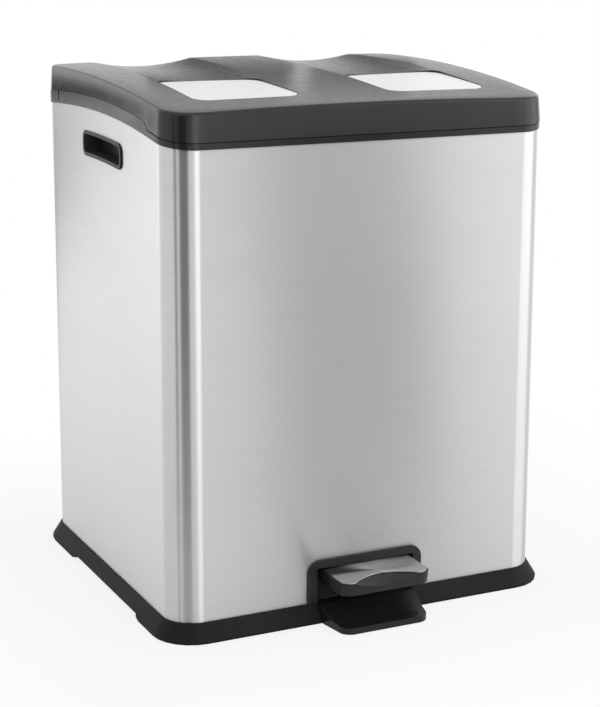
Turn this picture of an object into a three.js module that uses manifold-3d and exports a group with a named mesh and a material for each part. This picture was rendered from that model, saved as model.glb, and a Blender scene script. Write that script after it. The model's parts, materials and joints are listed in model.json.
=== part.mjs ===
// Double recycling bin: a brushed steel body on a plastic base, one crowned lid worked by a
// pedal, and two lift-out buckets side by side. Millimetres, +Z up, the front faces -Y.
import * as THREE from 'three';
import { mergeVertices } from 'three/addons/utils/BufferGeometryUtils.js';
import Module from 'manifold-3d';

const wasm = await Module();
wasm.setup();

// ---------------------------------------------------------------- driving dimensions
// Steel body: one wrapped sheet, rounded rectangle in plan, its top edge cut to a shallow arc.
const BODY_WIDTH = 382;
const BODY_DEPTH = 341;
const BODY_CORNER = 29;
const SHEET = 0.8;
const RIM_FRONT_Z = 445;
const RIM_PEAK_RISE = 17.3;
const RIM_BACK_RISE = 11;
const RIM_PEAK_FROM_BACK = 145.5;
const SHEET_TUCK = 6;

// Base moulding: a flared skirt outside the sheet, a wall inside it, a deck for the buckets.
const BASE_FLARE = 10.5;
const BASE_LIFT = 0.8;
const SKIRT_TOP_Z = 18;
const SKIRT_EDGE_Z = 3.5;
const SKIRT_LIP = 1.6;
const SKIRT_FOOT_SHARE = 0.95;
const SKIRT_NECK = 2;
const SKIRT_NECK_SHARE = 0.12;
const BASE_WALL = 3;
const DECK_TOP_Z = 47;
const DECK_THICK = 3;
const GROOVE_FLOOR_Z = 9;
const SKIRT_ARCH = 4.7;
const ARCH_FROM_FRONT = 71.5;
const ARCH_FROM_BACK = 92.5;
const ARCH_SLOPE = 8;

// Rubber feet, let into bosses under the corners of the deck.
const FOOT_RADIUS = 11;
const FOOT_THICK = 3;
const FOOT_INSET_X = 34;
const FOOT_INSET_Y = 34;
const FOOT_BOSS_WALL = 4;

// Collar: the plastic frame on the sheet's top edge, with an opening for each bucket.
const COLLAR_PROUD = 1.2;
const COLLAR_WALL = 4;
const BAND_SIDE = 12.6;
const BAND_FRONT = 6;
const BAND_STEP_FROM_FRONT = 57.5;
const BAND_STEP_LENGTH = 11;
const FLANGE_RISE = 1;
const FLANGE_THICK = 3;
const COLLAR_BACK_RISE = 23;
const COLLAR_STEP_FROM_BACK = 13.5;
const NOTCH_FROM_BACK = 50.5;
const NOTCH_WIDTH = 2.4;
const NOTCH_DROP = 11;
const NOTCH_DEPTH = 0.7;

// Lid: crowned front to back, two scoops with a label plate at the front of each. Its heights
// are rises above the front rim of the steel.
const LID_INSET = 0.3;
const LID_DRAFT = 1.6;
const LID_CORNER = 28;
const LID_WALL = 2.5;
const LID_TOP_THICK = 4;
const LID_SIDE_FRONT = 32;
const LID_SIDE_MIDDLE = 48.7;
const LID_SIDE_BACK = 49.5;
const LID_CENTRE_FRONT = 34.6;
const LID_CENTRE_MIDDLE = 47.5;
const LID_CENTRE_BACK = 51.8;
const LID_EDGE_DROP = 1;
const LID_BACK_ROUND = 14;
const LID_BACK_EDGE = 26.6;
const RIB_HALF_BACK = 38.5;
const RIB_HALF_FRONT = 44.2;
const SCOOP_MARGIN_BACK = 45.6;
const SCOOP_MARGIN_FRONT = 40.7;
const SCOOP_DEPTH = 6.5;
const SCOOP_FROM_FRONT = 40.5;
const SCOOP_FROM_BACK = 15.5;
const PLATE_MARGIN = 0.9;
const PLATE_FROM_FRONT = 42.5;
const PLATE_LENGTH = 104;
const PLATE_CORNER = 15;
const PLATE_THICK = 1.4;
const PLATE_SINK_BACK = 2.2;
const LINER_RISE = 23;
const LINER_THICK = 2;
const LINER_SIDE_GAP = 1.5;
const LINER_FRONT_GAP = 1;
const LINER_FROM_BACK = 39.5;
const LINER_CORNER = 24;
const LINER_POST_RADIUS = 4;
const LINER_POST_FROM_SIDE = 96;
const LINER_POST_FROM_FRONT = 30.5;
const LINER_POST_FROM_BACK = 80.5;

// Lid hinge: two pins in ears on the collar, a knuckle of the lid between each pair of ears.
const HINGE_FROM_BACK = 7.5;
const HINGE_RISE = 32;
const HINGE_FROM_SIDE = 73;
const HINGE_PIN_RADIUS = 2.5;
const HINGE_PIN_LENGTH = 20;
const KNUCKLE_WIDTH = 8;
const KNUCKLE_RADIUS = 5.6;
const EAR_THICK = 4;
const HINGE_SLOT_MARGIN = 1.5;

// Buckets, each with a wire bail that lies on the rim and a plastic grip on the wire.
const BUCKET_SIDE_GAP = 3;
const BUCKET_FRONT_GAP = 17.5;
const BUCKET_BACK_GAP = 35.5;
const BUCKET_CORNER = 24;
const BUCKET_PROUD = 2;
const BUCKET_WALL = 2;
const BUCKET_TAPER_X = 12.5;
const BUCKET_TAPER_Y = 16.5;
const RIM_BAND_HEIGHT = 10;
const RIM_BAND_WIDTH = 3.5;
const RIM_SKIN = 1.4;
const BUCKET_GAP_CENTRE = 10;
const OPENING_CLEARANCE = 2;
const BAIL_RADIUS = 1.8;
const BAIL_LENGTH = 122;
const BAIL_CORNER = 16;
const BAIL_INSET = 8.5;
const BAIL_RAISE = 5.5;
const BAIL_EAR_THICK = 3;
const BAIL_EAR_HEIGHT = 10;
const BAIL_EAR_WIDTH = 12;
const GRIP_RADIUS = 5;
const GRIP_LENGTH = 78;

// Carry handles: a cup through a slot high on each side, with a thin rim outside.
const HANDLE_LENGTH = 104;
const HANDLE_HEIGHT = 24.5;
const HANDLE_CORNER = 8;
const HANDLE_FROM_FRONT = 168.2;
const HANDLE_DROP = 21;
const HANDLE_RIM = 3;
const HANDLE_PROUD = 1.2;
const HANDLE_CUP_DEPTH = 19;
const HANDLE_WALL = 1.8;

// Pedal, its surround, and the toe plate on the floor under it.
const SURROUND_HALF_WIDTH = 59.2;
const SURROUND_TOP_Z = 59.4;
const SURROUND_CORNER = 12;
const SURROUND_PROUD = 2.6;
const SURROUND_SLEEVE = 12;
const PEDAL_OPENING_HALF = 50;
const PEDAL_OPENING_TOP_Z = 51.2;
const SURROUND_WALL = 2;
const PEDAL_TOP_Z = 50.4;
const PEDAL_BOTTOM_Z = 37.6;
const PEDAL_HALF_WIDTH = 46.4;
const PEDAL_OUT = 47;
const PEDAL_TUCK = 4.5;
const PEDAL_SCALLOP = 14.5;
const PEDAL_TIP_X = 33;
const PEDAL_TIP_SETBACK = 9.5;
const COVER_THICK = 1;
const COVER_MARGIN = 1.6;
const COVER_BACK_GAP = 1;
const COVER_FRONT_GAP = 0.4;
const PAD_FOOT_INSET = 1;
const PAD_FOOT_HEIGHT = 4;
const PAD_SKIN = 2;
const PEDAL_SCREW_INSET = 12;
const TOE_OUT = 47.5;
const TOE_TUCK = 18.5;
const TOE_HALF_FRONT = 43.5;
const TOE_HALF_BACK = 49.2;
const TOE_CORNER = 10;
const TOE_LIP_Z = 6.8;
const TOE_SHOULDER_Z = 18.4;
const TOE_SHOULDER_AHEAD = 3;
const TOE_SHOULDER_BEHIND = 6;
const TOE_DISH = [[11, 12.9], [23, 9.4]];

// Pedal lever: a steel bar on a cross pin, from the pedal to the foot of the lift rod.
const PIVOT_FROM_FRONT = 115.5;
const PIVOT_Z = 24;
const PIVOT_RADIUS = 3;
const PIVOT_HALF = 28;
const LEVER_HALF_WIDTH = 15;
const LEVER_THICK = 3;
const LEVER_FROM_TIP = 14.5;
const LEVER_BEND_TUCK = 8.5;
const LEVER_PAST_ROD = 6;
const LEVER_FRONT_Z = 41.3;
const LEVER_BACK_Z = 12.4;
const LEVER_LUG_RADIUS = 7;
const BEARING_THICK = 6;
const BEARING_REACH = 8;
const BEARING_GAP = 1;

// Lift rod, its head under the lid's crank, its shoe on the lever, and the damper beside it.
const ROD_FROM_BACK = 23.5;
const ROD_RADIUS = 3;
const ROD_CLEARANCE = 1;
const ROD_SOCKET = 3;
const HEAD_HALF_X = 9;
const HEAD_FORWARD = 6;
const HEAD_BACKWARD = 8;
const HEAD_THICK = 5;
const SHOE_HALF_X = 8;
const SHOE_HALF_Y = 8;
const SHOE_THICK = 7;
const SHOE_HATCH_SIDE = 2;
const SHOE_HATCH_END = 3;
const GUIDE_HALF_X = 9;
const GUIDE_THICK = 8;
const GUIDE_WALL = 2.5;
const GUIDE_PAD_SIDE = 8;
const GUIDE_PAD_END = 6;
const GUIDE_PAD_THICK = 3;
const GUIDE_LOWER_Z = 232;
const GUIDE_UNDER_RIM = 49;
const CRANK_RADIUS = 20;
const CRANK_START_DEG = 20;
const CRANK_PIN_RADIUS = 4;
const CRANK_HALF = 8;
const CRANK_ARM = 3;
const CRANK_PLATE_HALF = 20;
const CRANK_PLATE_THICK = 2.5;
const CRANK_PLATE_REACH = 8;
const CRANK_PLATE_DROP = 1;
const CRANK_SCREW_INSET = 6;
const CRANK_SCREW_BITE = 2.5;
const DAMPER_X = 34;
const DAMPER_FROM_BACK = 16.5;
const DAMPER_RADIUS = 9;
const DAMPER_WALL = 1.5;
const DAMPER_LENGTH = 76;
const DAMPER_FOOT_RADIUS = 13;
const DAMPER_FOOT_THICK = 3;
const DAMPER_ROD_RADIUS = 2.5;
const DAMPER_CAP_THICK = 4;
const DAMPER_BRIM = 2;
const PISTON_REST = 4;
const PISTON_THICK = 6;
const CROSSHEAD_Z = 152;
const CROSSHEAD_THICK = 4;
const CROSSHEAD_HALF = 8;

// Screws, and the clearances that pieces keep to each other.
const SCREW_RADIUS = 1.5;
const SCREW_HEAD_RADIUS = 3.4;
const SCREW_HEAD_THICK = 2;
const SEAT = 0.3;
const RUN = 0.12;
const SEAM_GAP = 0.5;

// How far a cut runs past its piece, how far joined shapes overlap, how curves are divided.
const PASS = 40;
const OVER = 1;
const MERGE = 0.1;
const ROUND_SEGMENTS = 16;
const CORNER_SEGMENTS = 6;
const CURVE_STEPS = 22;
const LID_ROWS = 14;
const SCOOP_COLUMNS = 6;
const BAIL_STEPS = 40;

// ---------------------------------------------------------------- derived places
const HALF_WIDTH = BODY_WIDTH / 2;
const HALF_DEPTH = BODY_DEPTH / 2;
const FRONT_Y = -HALF_DEPTH;
const BASE_HALF_DEPTH = HALF_DEPTH + BASE_FLARE;
const RIM_PEAK_Z = RIM_FRONT_Z + RIM_PEAK_RISE;
const RIM_BACK_Z = RIM_FRONT_Z + RIM_BACK_RISE;
const RIM_PEAK_Y = HALF_DEPTH - RIM_PEAK_FROM_BACK;
const ARCH_FRONT_Y = FRONT_Y + ARCH_FROM_FRONT;
const ARCH_BACK_Y = HALF_DEPTH - ARCH_FROM_BACK;
const BAND_STEP_Y = FRONT_Y + BAND_STEP_FROM_FRONT;
const FLANGE_TOP_Z = RIM_FRONT_Z + FLANGE_RISE;
const COLLAR_BACK_Z = RIM_FRONT_Z + COLLAR_BACK_RISE;
const COLLAR_STEP_Y = HALF_DEPTH - COLLAR_STEP_FROM_BACK;
const NOTCH_Y = HALF_DEPTH - NOTCH_FROM_BACK;
const LID_SIDE_FRONT_Z = RIM_FRONT_Z + LID_SIDE_FRONT;
const LID_SIDE_MIDDLE_Z = RIM_FRONT_Z + LID_SIDE_MIDDLE;
const LID_SIDE_BACK_Z = RIM_FRONT_Z + LID_SIDE_BACK;
const LID_CENTRE_FRONT_Z = RIM_FRONT_Z + LID_CENTRE_FRONT;
const LID_CENTRE_MIDDLE_Z = RIM_FRONT_Z + LID_CENTRE_MIDDLE;
const LID_CENTRE_BACK_Z = RIM_FRONT_Z + LID_CENTRE_BACK;
const LID_BACK_EDGE_Z = RIM_FRONT_Z + LID_BACK_EDGE;
const SCOOP_OUTER_BACK = HALF_WIDTH - SCOOP_MARGIN_BACK;
const SCOOP_OUTER_FRONT = HALF_WIDTH - SCOOP_MARGIN_FRONT;
const SCOOP_FRONT_Y = FRONT_Y + SCOOP_FROM_FRONT;
const SCOOP_BACK_Y = HALF_DEPTH - SCOOP_FROM_BACK;
const PLATE_FRONT_Y = FRONT_Y + PLATE_FROM_FRONT;
const PLATE_BACK_Y = PLATE_FRONT_Y + PLATE_LENGTH;
const LINER_Z = RIM_FRONT_Z + LINER_RISE;
const LINER_BACK_Y = HALF_DEPTH - LINER_FROM_BACK;
const LINER_POST_X = HALF_WIDTH - LINER_POST_FROM_SIDE;
const LINER_POST_FRONT_Y = FRONT_Y + LINER_POST_FROM_FRONT;
const LINER_POST_BACK_Y = HALF_DEPTH - LINER_POST_FROM_BACK;
const HINGE_X = HALF_WIDTH - HINGE_FROM_SIDE;
const HINGE_Y = HALF_DEPTH - HINGE_FROM_BACK;
const HINGE_Z = RIM_FRONT_Z + HINGE_RISE;
const HANDLE_CENTRE_Y = FRONT_Y + HANDLE_FROM_FRONT;
const PEDAL_REACH = HALF_DEPTH + PEDAL_OUT;
const PEDAL_BACK_Y = FRONT_Y + PEDAL_TUCK;
const TOE_REACH = HALF_DEPTH + TOE_OUT;
const TOE_BACK_Y = FRONT_Y + TOE_TUCK;
const PIVOT_Y = FRONT_Y + PIVOT_FROM_FRONT;
const ROD_Y = HALF_DEPTH - ROD_FROM_BACK;
const LEVER_FRONT_Y = -PEDAL_REACH + LEVER_FROM_TIP;
const LEVER_BEND_Y = FRONT_Y + LEVER_BEND_TUCK;
const LEVER_BACK_Y = ROD_Y + LEVER_PAST_ROD;
const HEAD_FRONT_Y = ROD_Y - HEAD_FORWARD;
const HEAD_BACK_Y = ROD_Y + HEAD_BACKWARD;
const GUIDE_UPPER_Z = RIM_FRONT_Z - GUIDE_UNDER_RIM;
const DAMPER_Y = HALF_DEPTH - DAMPER_FROM_BACK;
const DECK_UNDER_Z = DECK_TOP_Z - DECK_THICK;
const ORIGIN_SHIFT = (TOE_REACH - BASE_HALF_DEPTH) / 2;
const TOP_LIMIT_Z = LID_CENTRE_BACK_Z + PASS;
const CRANK_ANGLE = THREE.MathUtils.degToRad(CRANK_START_DEG);
const CRANK_Y = HINGE_Y - CRANK_RADIUS * Math.cos(CRANK_ANGLE);
const CRANK_Z = HINGE_Z - CRANK_RADIUS * Math.sin(CRANK_ANGLE);
const HEAD_TOP_Z = CRANK_Z - CRANK_PIN_RADIUS - SEAT;
const BUCKET_WIDTH = HALF_WIDTH - HANDLE_CUP_DEPTH - BUCKET_SIDE_GAP - BUCKET_GAP_CENTRE / 2;
const BUCKET_DEPTH = BODY_DEPTH - BUCKET_FRONT_GAP - BUCKET_BACK_GAP;
const BUCKET_BACK_Y = HALF_DEPTH - BUCKET_BACK_GAP;
const BUCKET_TOP_Z = FLANGE_TOP_Z + BUCKET_PROUD;
const BUCKET_X = (BUCKET_GAP_CENTRE + BUCKET_WIDTH) / 2;
const BUCKET_Y = BUCKET_BACK_Y - BUCKET_DEPTH / 2;

// ---------------------------------------------------------------- materials
function plastic(color, roughness) {
  return new THREE.MeshStandardMaterial({ color, roughness, metalness: 0 });
}

function metal(color, roughness) {
  return new THREE.MeshStandardMaterial({ color, roughness, metalness: 1 });
}

const brushedSteel = metal(0xc9cacb, 0.32);
const plainSteel = metal(0x9a9c9e, 0.4);
const charcoal = plastic(0x3c3c3e, 0.55);
const black = plastic(0x242426, 0.5);
const bucketGrey = plastic(0x55575a, 0.6);
const labelWhite = plastic(0xf4f4f4, 0.4);
const rubber = plastic(0x1c1c1c, 0.9);

// ---------------------------------------------------------------- solids and booleans
function solid(geometry) {
  const bare = geometry.clone();
  for (const name of ['normal', 'uv']) bare.deleteAttribute(name);
  const welded = mergeVertices(bare, 1e-4);
  return new wasm.Manifold(new wasm.Mesh({
    numProp: 3,
    vertProperties: new Float32Array(welded.attributes.position.array),
    triVerts: new Uint32Array(welded.index.array),
  }));
}

function geometryOf(shape) {
  const mesh = shape.getMesh();
  const geometry = new THREE.BufferGeometry();
  geometry.setAttribute('position', new THREE.BufferAttribute(mesh.vertProperties, 3));
  geometry.setIndex(new THREE.BufferAttribute(mesh.triVerts, 1));
  const faceted = geometry.toNonIndexed();
  faceted.computeVertexNormals();
  return faceted;
}

function join(...shapes) {
  return shapes.reduce((sum, shape) => sum.add(shape));
}

function block(x0, x1, y0, y1, z0, z1) {
  const box = new THREE.BoxGeometry(x1 - x0, y1 - y0, z1 - z0);
  return solid(box.translate((x0 + x1) / 2, (y0 + y1) / 2, (z0 + z1) / 2));
}

function rodX(radius, x0, x1, y, z) {
  const bar = new THREE.CylinderGeometry(radius, radius, x1 - x0, ROUND_SEGMENTS);
  return solid(bar.rotateZ(Math.PI / 2).translate((x0 + x1) / 2, y, z));
}

function rodZ(radius, z0, z1, x, y) {
  const bar = new THREE.CylinderGeometry(radius, radius, z1 - z0, ROUND_SEGMENTS);
  return solid(bar.rotateX(Math.PI / 2).translate(x, y, (z0 + z1) / 2));
}

function roundedRect(x0, x1, y0, y1, radius) {
  const shape = new THREE.Shape();
  shape.absarc(x1 - radius, y1 - radius, radius, 0, Math.PI / 2);
  shape.absarc(x0 + radius, y1 - radius, radius, Math.PI / 2, Math.PI);
  shape.absarc(x0 + radius, y0 + radius, radius, Math.PI, 1.5 * Math.PI);
  shape.absarc(x1 - radius, y0 + radius, radius, 1.5 * Math.PI, 2 * Math.PI);
  return shape;
}

function upright(shape, z0, z1) {
  const options = { depth: z1 - z0, bevelEnabled: false, curveSegments: CORNER_SEGMENTS };
  return solid(new THREE.ExtrudeGeometry(shape, options).translate(0, 0, z0));
}

// A profile drawn in Y and Z, run along X.
function acrossX(shape, x0, x1) {
  const options = { depth: x1 - x0, bevelEnabled: false, curveSegments: CORNER_SEGMENTS };
  const geometry = new THREE.ExtrudeGeometry(shape, options);
  const turn = new THREE.Matrix4().makeBasis(
    new THREE.Vector3(0, 1, 0), new THREE.Vector3(0, 0, 1), new THREE.Vector3(1, 0, 0));
  return solid(geometry.applyMatrix4(turn).translate(x0, 0, 0));
}

// A profile drawn in X and Z, run along Y.
function acrossY(shape, y0, y1) {
  const options = { depth: y1 - y0, bevelEnabled: false, curveSegments: CORNER_SEGMENTS };
  return solid(new THREE.ExtrudeGeometry(shape, options).rotateX(Math.PI / 2).translate(0, y1, 0));
}

function polygon(points) {
  return new THREE.Shape(points.map(([u, v]) => new THREE.Vector2(u, v)));
}

// A stack of outlines with equal point counts, skinned and capped.
function loft(layers) {
  const count = layers[0].points.length;
  const positions = [];
  for (const layer of layers) {
    for (const point of layer.points) positions.push(point.x, point.y, layer.z);
  }
  const index = [];
  for (let level = 0; level + 1 < layers.length; level += 1) {
    for (let i = 0; i < count; i += 1) {
      const a = level * count + i;
      const b = level * count + (i + 1) % count;
      index.push(a, b, b + count, a, b + count, a + count);
    }
  }
  const faces = THREE.ShapeUtils.triangulateShape(layers[0].points, []);
  const top = (layers.length - 1) * count;
  for (const [a, b, c] of faces) index.push(a, c, b);
  const topFaces = THREE.ShapeUtils.triangulateShape(layers[layers.length - 1].points, []);
  for (const [a, b, c] of topFaces) index.push(top + a, top + b, top + c);
  const geometry = new THREE.BufferGeometry();
  geometry.setAttribute('position', new THREE.Float32BufferAttribute(positions, 3));
  geometry.setIndex(index);
  return solid(geometry);
}

// Points of a rounded rectangle, the same count for every size, so that they can be lofted.
function ringPoints(halfX, halfY, radius, centreX = 0, centreY = 0) {
  const points = [];
  const corners = [[1, 1, 0], [-1, 1, 0.5], [-1, -1, 1], [1, -1, 1.5]];
  for (const [signX, signY, turn] of corners) {
    for (let i = 0; i <= CORNER_SEGMENTS; i += 1) {
      const angle = Math.PI * (turn + 0.5 * i / CORNER_SEGMENTS);
      points.push(new THREE.Vector2(
        centreX + signX * (halfX - radius) + radius * Math.cos(angle),
        centreY + signY * (halfY - radius) + radius * Math.sin(angle)));
    }
  }
  return points;
}

function ringLoft(layers) {
  return loft(layers.map(([z, halfX, halfY, radius]) => (
    { z, points: ringPoints(halfX, halfY, radius) })));
}

// The body's outline, set out (or in, when negative) by an offset.
function bodyPrism(offset, z0, z1) {
  const points = ringPoints(HALF_WIDTH + offset, HALF_DEPTH + offset, BODY_CORNER + offset);
  return upright(new THREE.Shape(points), z0, z1);
}

// The space above (or below) a curve z(y), across the whole width.
function beyondCurve(curve, limitZ) {
  const reach = BASE_HALF_DEPTH + PASS;
  const samples = [-reach];
  for (let i = 0; i <= CURVE_STEPS; i += 1) {
    samples.push(-HALF_DEPTH - SEAM_GAP + i * (BODY_DEPTH + 2 * SEAM_GAP) / CURVE_STEPS);
  }
  for (const y of [BAND_STEP_Y, BAND_STEP_Y - BAND_STEP_LENGTH, COLLAR_STEP_Y]) {
    samples.push(y - SEAM_GAP, y + SEAM_GAP);
  }
  samples.push(reach);
  samples.sort((a, b) => a - b);
  const line = samples.map((y) => [y, curve(THREE.MathUtils.clamp(y, -HALF_DEPTH, HALF_DEPTH))]);
  const ends = [[reach, limitZ], [-reach, limitZ]];
  const wide = HALF_WIDTH + PASS;
  return acrossX(polygon(orientated([...line, ...ends])), -wide, wide);
}

function orientated(points) {
  const vectors = points.map(([u, v]) => new THREE.Vector2(u, v));
  return THREE.ShapeUtils.isClockWise(vectors) ? points.slice().reverse() : points;
}

// ---------------------------------------------------------------- the object's curves
// Visible top edge of the steel: level across the front, an arc along the sides.
function rimZ(y) {
  const endZ = y < RIM_PEAK_Y ? RIM_FRONT_Z : RIM_BACK_Z;
  const reach = y < RIM_PEAK_Y ? RIM_PEAK_Y + HALF_DEPTH : HALF_DEPTH - RIM_PEAK_Y;
  return RIM_PEAK_Z - (RIM_PEAK_Z - endZ) * ((y - RIM_PEAK_Y) / reach) ** 2;
}

// Seam between collar and lid: a band above the rim, which steps down near the front corners.
function seamZ(y) {
  const t = THREE.MathUtils.smoothstep(y, BAND_STEP_Y - BAND_STEP_LENGTH, BAND_STEP_Y);
  return rimZ(y) + BAND_FRONT + (BAND_SIDE - BAND_FRONT) * t;
}

function collarTopZ(y) {
  return y > COLLAR_STEP_Y ? COLLAR_BACK_Z : seamZ(y) - SEAM_GAP;
}

function lidBottomZ(y) {
  return y > COLLAR_STEP_Y ? LID_BACK_EDGE_Z : seamZ(y);
}

function crown(frontZ, middleZ, backZ, y) {
  const t = y / HALF_DEPTH;
  return middleZ + t * (backZ - frontZ) / 2 + t * t * ((backZ + frontZ) / 2 - middleZ);
}

function creaseX(backX, frontX, y) {
  const t = (SCOOP_BACK_Y - y) / (SCOOP_BACK_Y - SCOOP_FRONT_Y);
  return backX + (frontX - backX) * t;
}

function innerCrease(y) {
  return creaseX(RIB_HALF_BACK, RIB_HALF_FRONT, y);
}

function outerCrease(y) {
  return creaseX(SCOOP_OUTER_BACK, SCOOP_OUTER_FRONT, y);
}

// The lid's top without its scoops.
function lidCrownZ(x, y) {
  const side = crown(LID_SIDE_FRONT_Z, LID_SIDE_MIDDLE_Z, LID_SIDE_BACK_Z, y);
  const centre = crown(LID_CENTRE_FRONT_Z, LID_CENTRE_MIDDLE_Z, LID_CENTRE_BACK_Z, y);
  const share = Math.min(1, Math.abs(x) / outerCrease(y)) ** 2;
  const beyond = Math.max(0, Math.abs(x) - outerCrease(y)) / (HALF_WIDTH - outerCrease(y));
  return centre + (side - centre) * share - LID_EDGE_DROP * beyond ** 2;
}

function scoopDepth(x, y) {
  const middle = (innerCrease(y) + outerCrease(y)) / 2;
  const across = (Math.abs(x) - middle) / (outerCrease(y) - middle);
  if (Math.abs(across) >= 1) return 0;
  const along = THREE.MathUtils.clamp((y - SCOOP_FRONT_Y) / (SCOOP_BACK_Y - SCOOP_FRONT_Y), 0, 1.1);
  return SCOOP_DEPTH * along * (1 - across * across);
}

function backRoundDrop(y) {
  const start = HALF_DEPTH - LID_INSET - LID_BACK_ROUND;
  const over = THREE.MathUtils.clamp(y - start, 0, LID_BACK_ROUND);
  return LID_BACK_ROUND - Math.sqrt(LID_BACK_ROUND ** 2 - over ** 2);
}

function lidTopZ(x, y) {
  return lidCrownZ(x, y) - scoopDepth(x, y) - backRoundDrop(y);
}

// The flat top of a label plate: level with the creases in front, let in at the back.
function plateTopZ(x, y) {
  const along = THREE.MathUtils.clamp((y - PLATE_FRONT_Y) / (PLATE_BACK_Y - PLATE_FRONT_Y), 0, 1);
  const inner = lidCrownZ(innerCrease(y), y);
  const outer = lidCrownZ(outerCrease(y), y);
  const across = (Math.abs(x) - innerCrease(y)) / (outerCrease(y) - innerCrease(y));
  return inner + (outer - inner) * across - PLATE_SINK_BACK * along;
}

// A block under a surface z(x, y), on columns that follow the scoops' creases.
function underSurface(surface, floorZ) {
  const rows = [];
  const firstY = -HALF_DEPTH - 2 * OVER;
  const lastY = HALF_DEPTH - LID_INSET - LID_BACK_ROUND;
  for (let i = 0; i <= LID_ROWS; i += 1) rows.push(firstY + i * (lastY - firstY) / LID_ROWS);
  for (const share of [0.4, 0.7, 0.9, 1, 1.3]) {
    rows.push(lastY + LID_BACK_ROUND * share);
  }
  const grid = rows.map((y) => {
    const half = [innerCrease(y) / 2, innerCrease(y)];
    for (let i = 1; i <= SCOOP_COLUMNS; i += 1) {
      half.push(innerCrease(y) + (outerCrease(y) - innerCrease(y)) * i / SCOOP_COLUMNS);
    }
    half.push((outerCrease(y) + HALF_WIDTH) / 2, HALF_WIDTH + 2 * OVER);
    const left = half.map((x) => -x).reverse();
    return [...left, 0, ...half].map((x) => new THREE.Vector3(x, y, surface(x, y)));
  });
  return gridSolid(grid, floorZ);
}

function gridSolid(grid, floorZ) {
  const rows = grid.length;
  const columns = grid[0].length;
  const positions = [];
  for (const row of grid) for (const p of row) positions.push(p.x, p.y, p.z);
  for (const row of grid) for (const p of row) positions.push(p.x, p.y, floorZ);
  const under = rows * columns;
  const index = [];
  for (let r = 0; r + 1 < rows; r += 1) {
    for (let c = 0; c + 1 < columns; c += 1) {
      const a = r * columns + c;
      const d = a + columns;
      index.push(a, a + 1, d + 1, a, d + 1, d);
      index.push(under + a, under + d + 1, under + a + 1, under + a, under + d, under + d + 1);
    }
  }
  const edge = [];
  for (let c = 0; c + 1 < columns; c += 1) edge.push([c, c + 1]);
  for (let r = 0; r + 1 < rows; r += 1) {
    edge.push([r * columns + columns - 1, (r + 1) * columns + columns - 1]);
  }
  for (let c = columns - 1; c > 0; c -= 1) {
    edge.push([(rows - 1) * columns + c, (rows - 1) * columns + c - 1]);
  }
  for (let r = rows - 1; r > 0; r -= 1) edge.push([r * columns, (r - 1) * columns]);
  for (const [a, b] of edge) index.push(under + a, under + b, b, under + a, b, a);
  const geometry = new THREE.BufferGeometry();
  geometry.setAttribute('position', new THREE.Float32BufferAttribute(positions, 3));
  geometry.setIndex(index);
  return solid(geometry);
}

// ---------------------------------------------------------------- assembly groups
const bin = new THREE.Group();
bin.position.y = ORIGIN_SHIFT;
const standing = new THREE.Group();
const lid = new THREE.Group();
const pedal = new THREE.Group();
const lift = new THREE.Group();
bin.add(standing, lid, pedal, lift);

function piece(parent, name, shape, material) {
  const mesh = new THREE.Mesh(geometryOf(shape), material);
  mesh.name = name;
  parent.add(mesh);
  return mesh;
}

// ---------------------------------------------------------------- steel body
function handleOutline(grow) {
  const half = HANDLE_LENGTH / 2 + grow;
  const points = [];
  const topAt = (y) => rimZ(y + HANDLE_CENTRE_Y) - HANDLE_DROP + grow;
  const bottomAt = (y) => topAt(y) - HANDLE_HEIGHT - 2 * grow;
  const corner = HANDLE_CORNER + grow;
  for (const [sign, edgeAt, turn] of [[1, bottomAt, 1.5], [1, topAt, 0], [-1, topAt, 0.5],
    [-1, bottomAt, 1]]) {
    const centreY = sign * (half - corner);
    const centreZ = edgeAt(centreY) + (edgeAt === topAt ? -corner : corner);
    for (let i = 0; i <= 5; i += 1) {
      const angle = Math.PI * (turn + 0.1 * i);
      points.push([centreY + corner * Math.cos(angle) + HANDLE_CENTRE_Y,
        centreZ + corner * Math.sin(angle)]);
    }
    if (edgeAt === topAt && sign === 1) {
      for (const y of [0.5, 0, -0.5]) points.push([y * half + HANDLE_CENTRE_Y, topAt(y * half)]);
    }
    if (edgeAt === bottomAt && sign === -1) {
      for (const y of [-0.5, 0, 0.5]) points.push([y * half + HANDLE_CENTRE_Y, bottomAt(y * half)]);
    }
  }
  return polygon(points);
}

function steelBody() {
  const top = TOP_LIMIT_Z;
  const sheetZ = GROOVE_FLOOR_Z + SEAT;
  let sheet = bodyPrism(0, sheetZ, top).subtract(bodyPrism(-SHEET, sheetZ - OVER, top + OVER));
  sheet = sheet.subtract(beyondCurve((y) => rimZ(y) + SHEET_TUCK, top + PASS));
  const slot = acrossX(handleOutline(SEAT - HANDLE_RIM), -HALF_WIDTH - OVER, HALF_WIDTH + OVER);
  const half = PEDAL_OPENING_HALF + SURROUND_WALL + SEAT;
  const doorway = block(-half, half, FRONT_Y - OVER, FRONT_Y + SHEET + OVER, 0,
    PEDAL_OPENING_TOP_Z + SURROUND_WALL + SEAT);
  return sheet.subtract(slot).subtract(doorway);
}

piece(standing, 'steel_body', steelBody(), brushedSteel);

// ---------------------------------------------------------------- base and feet
const footX = HALF_WIDTH - FOOT_INSET_X;
const footY = HALF_DEPTH - FOOT_INSET_Y;
const footPlaces = [['front_left', -1, -1], ['front_right', 1, -1], ['back_left', -1, 1],
  ['back_right', 1, 1]];

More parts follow.
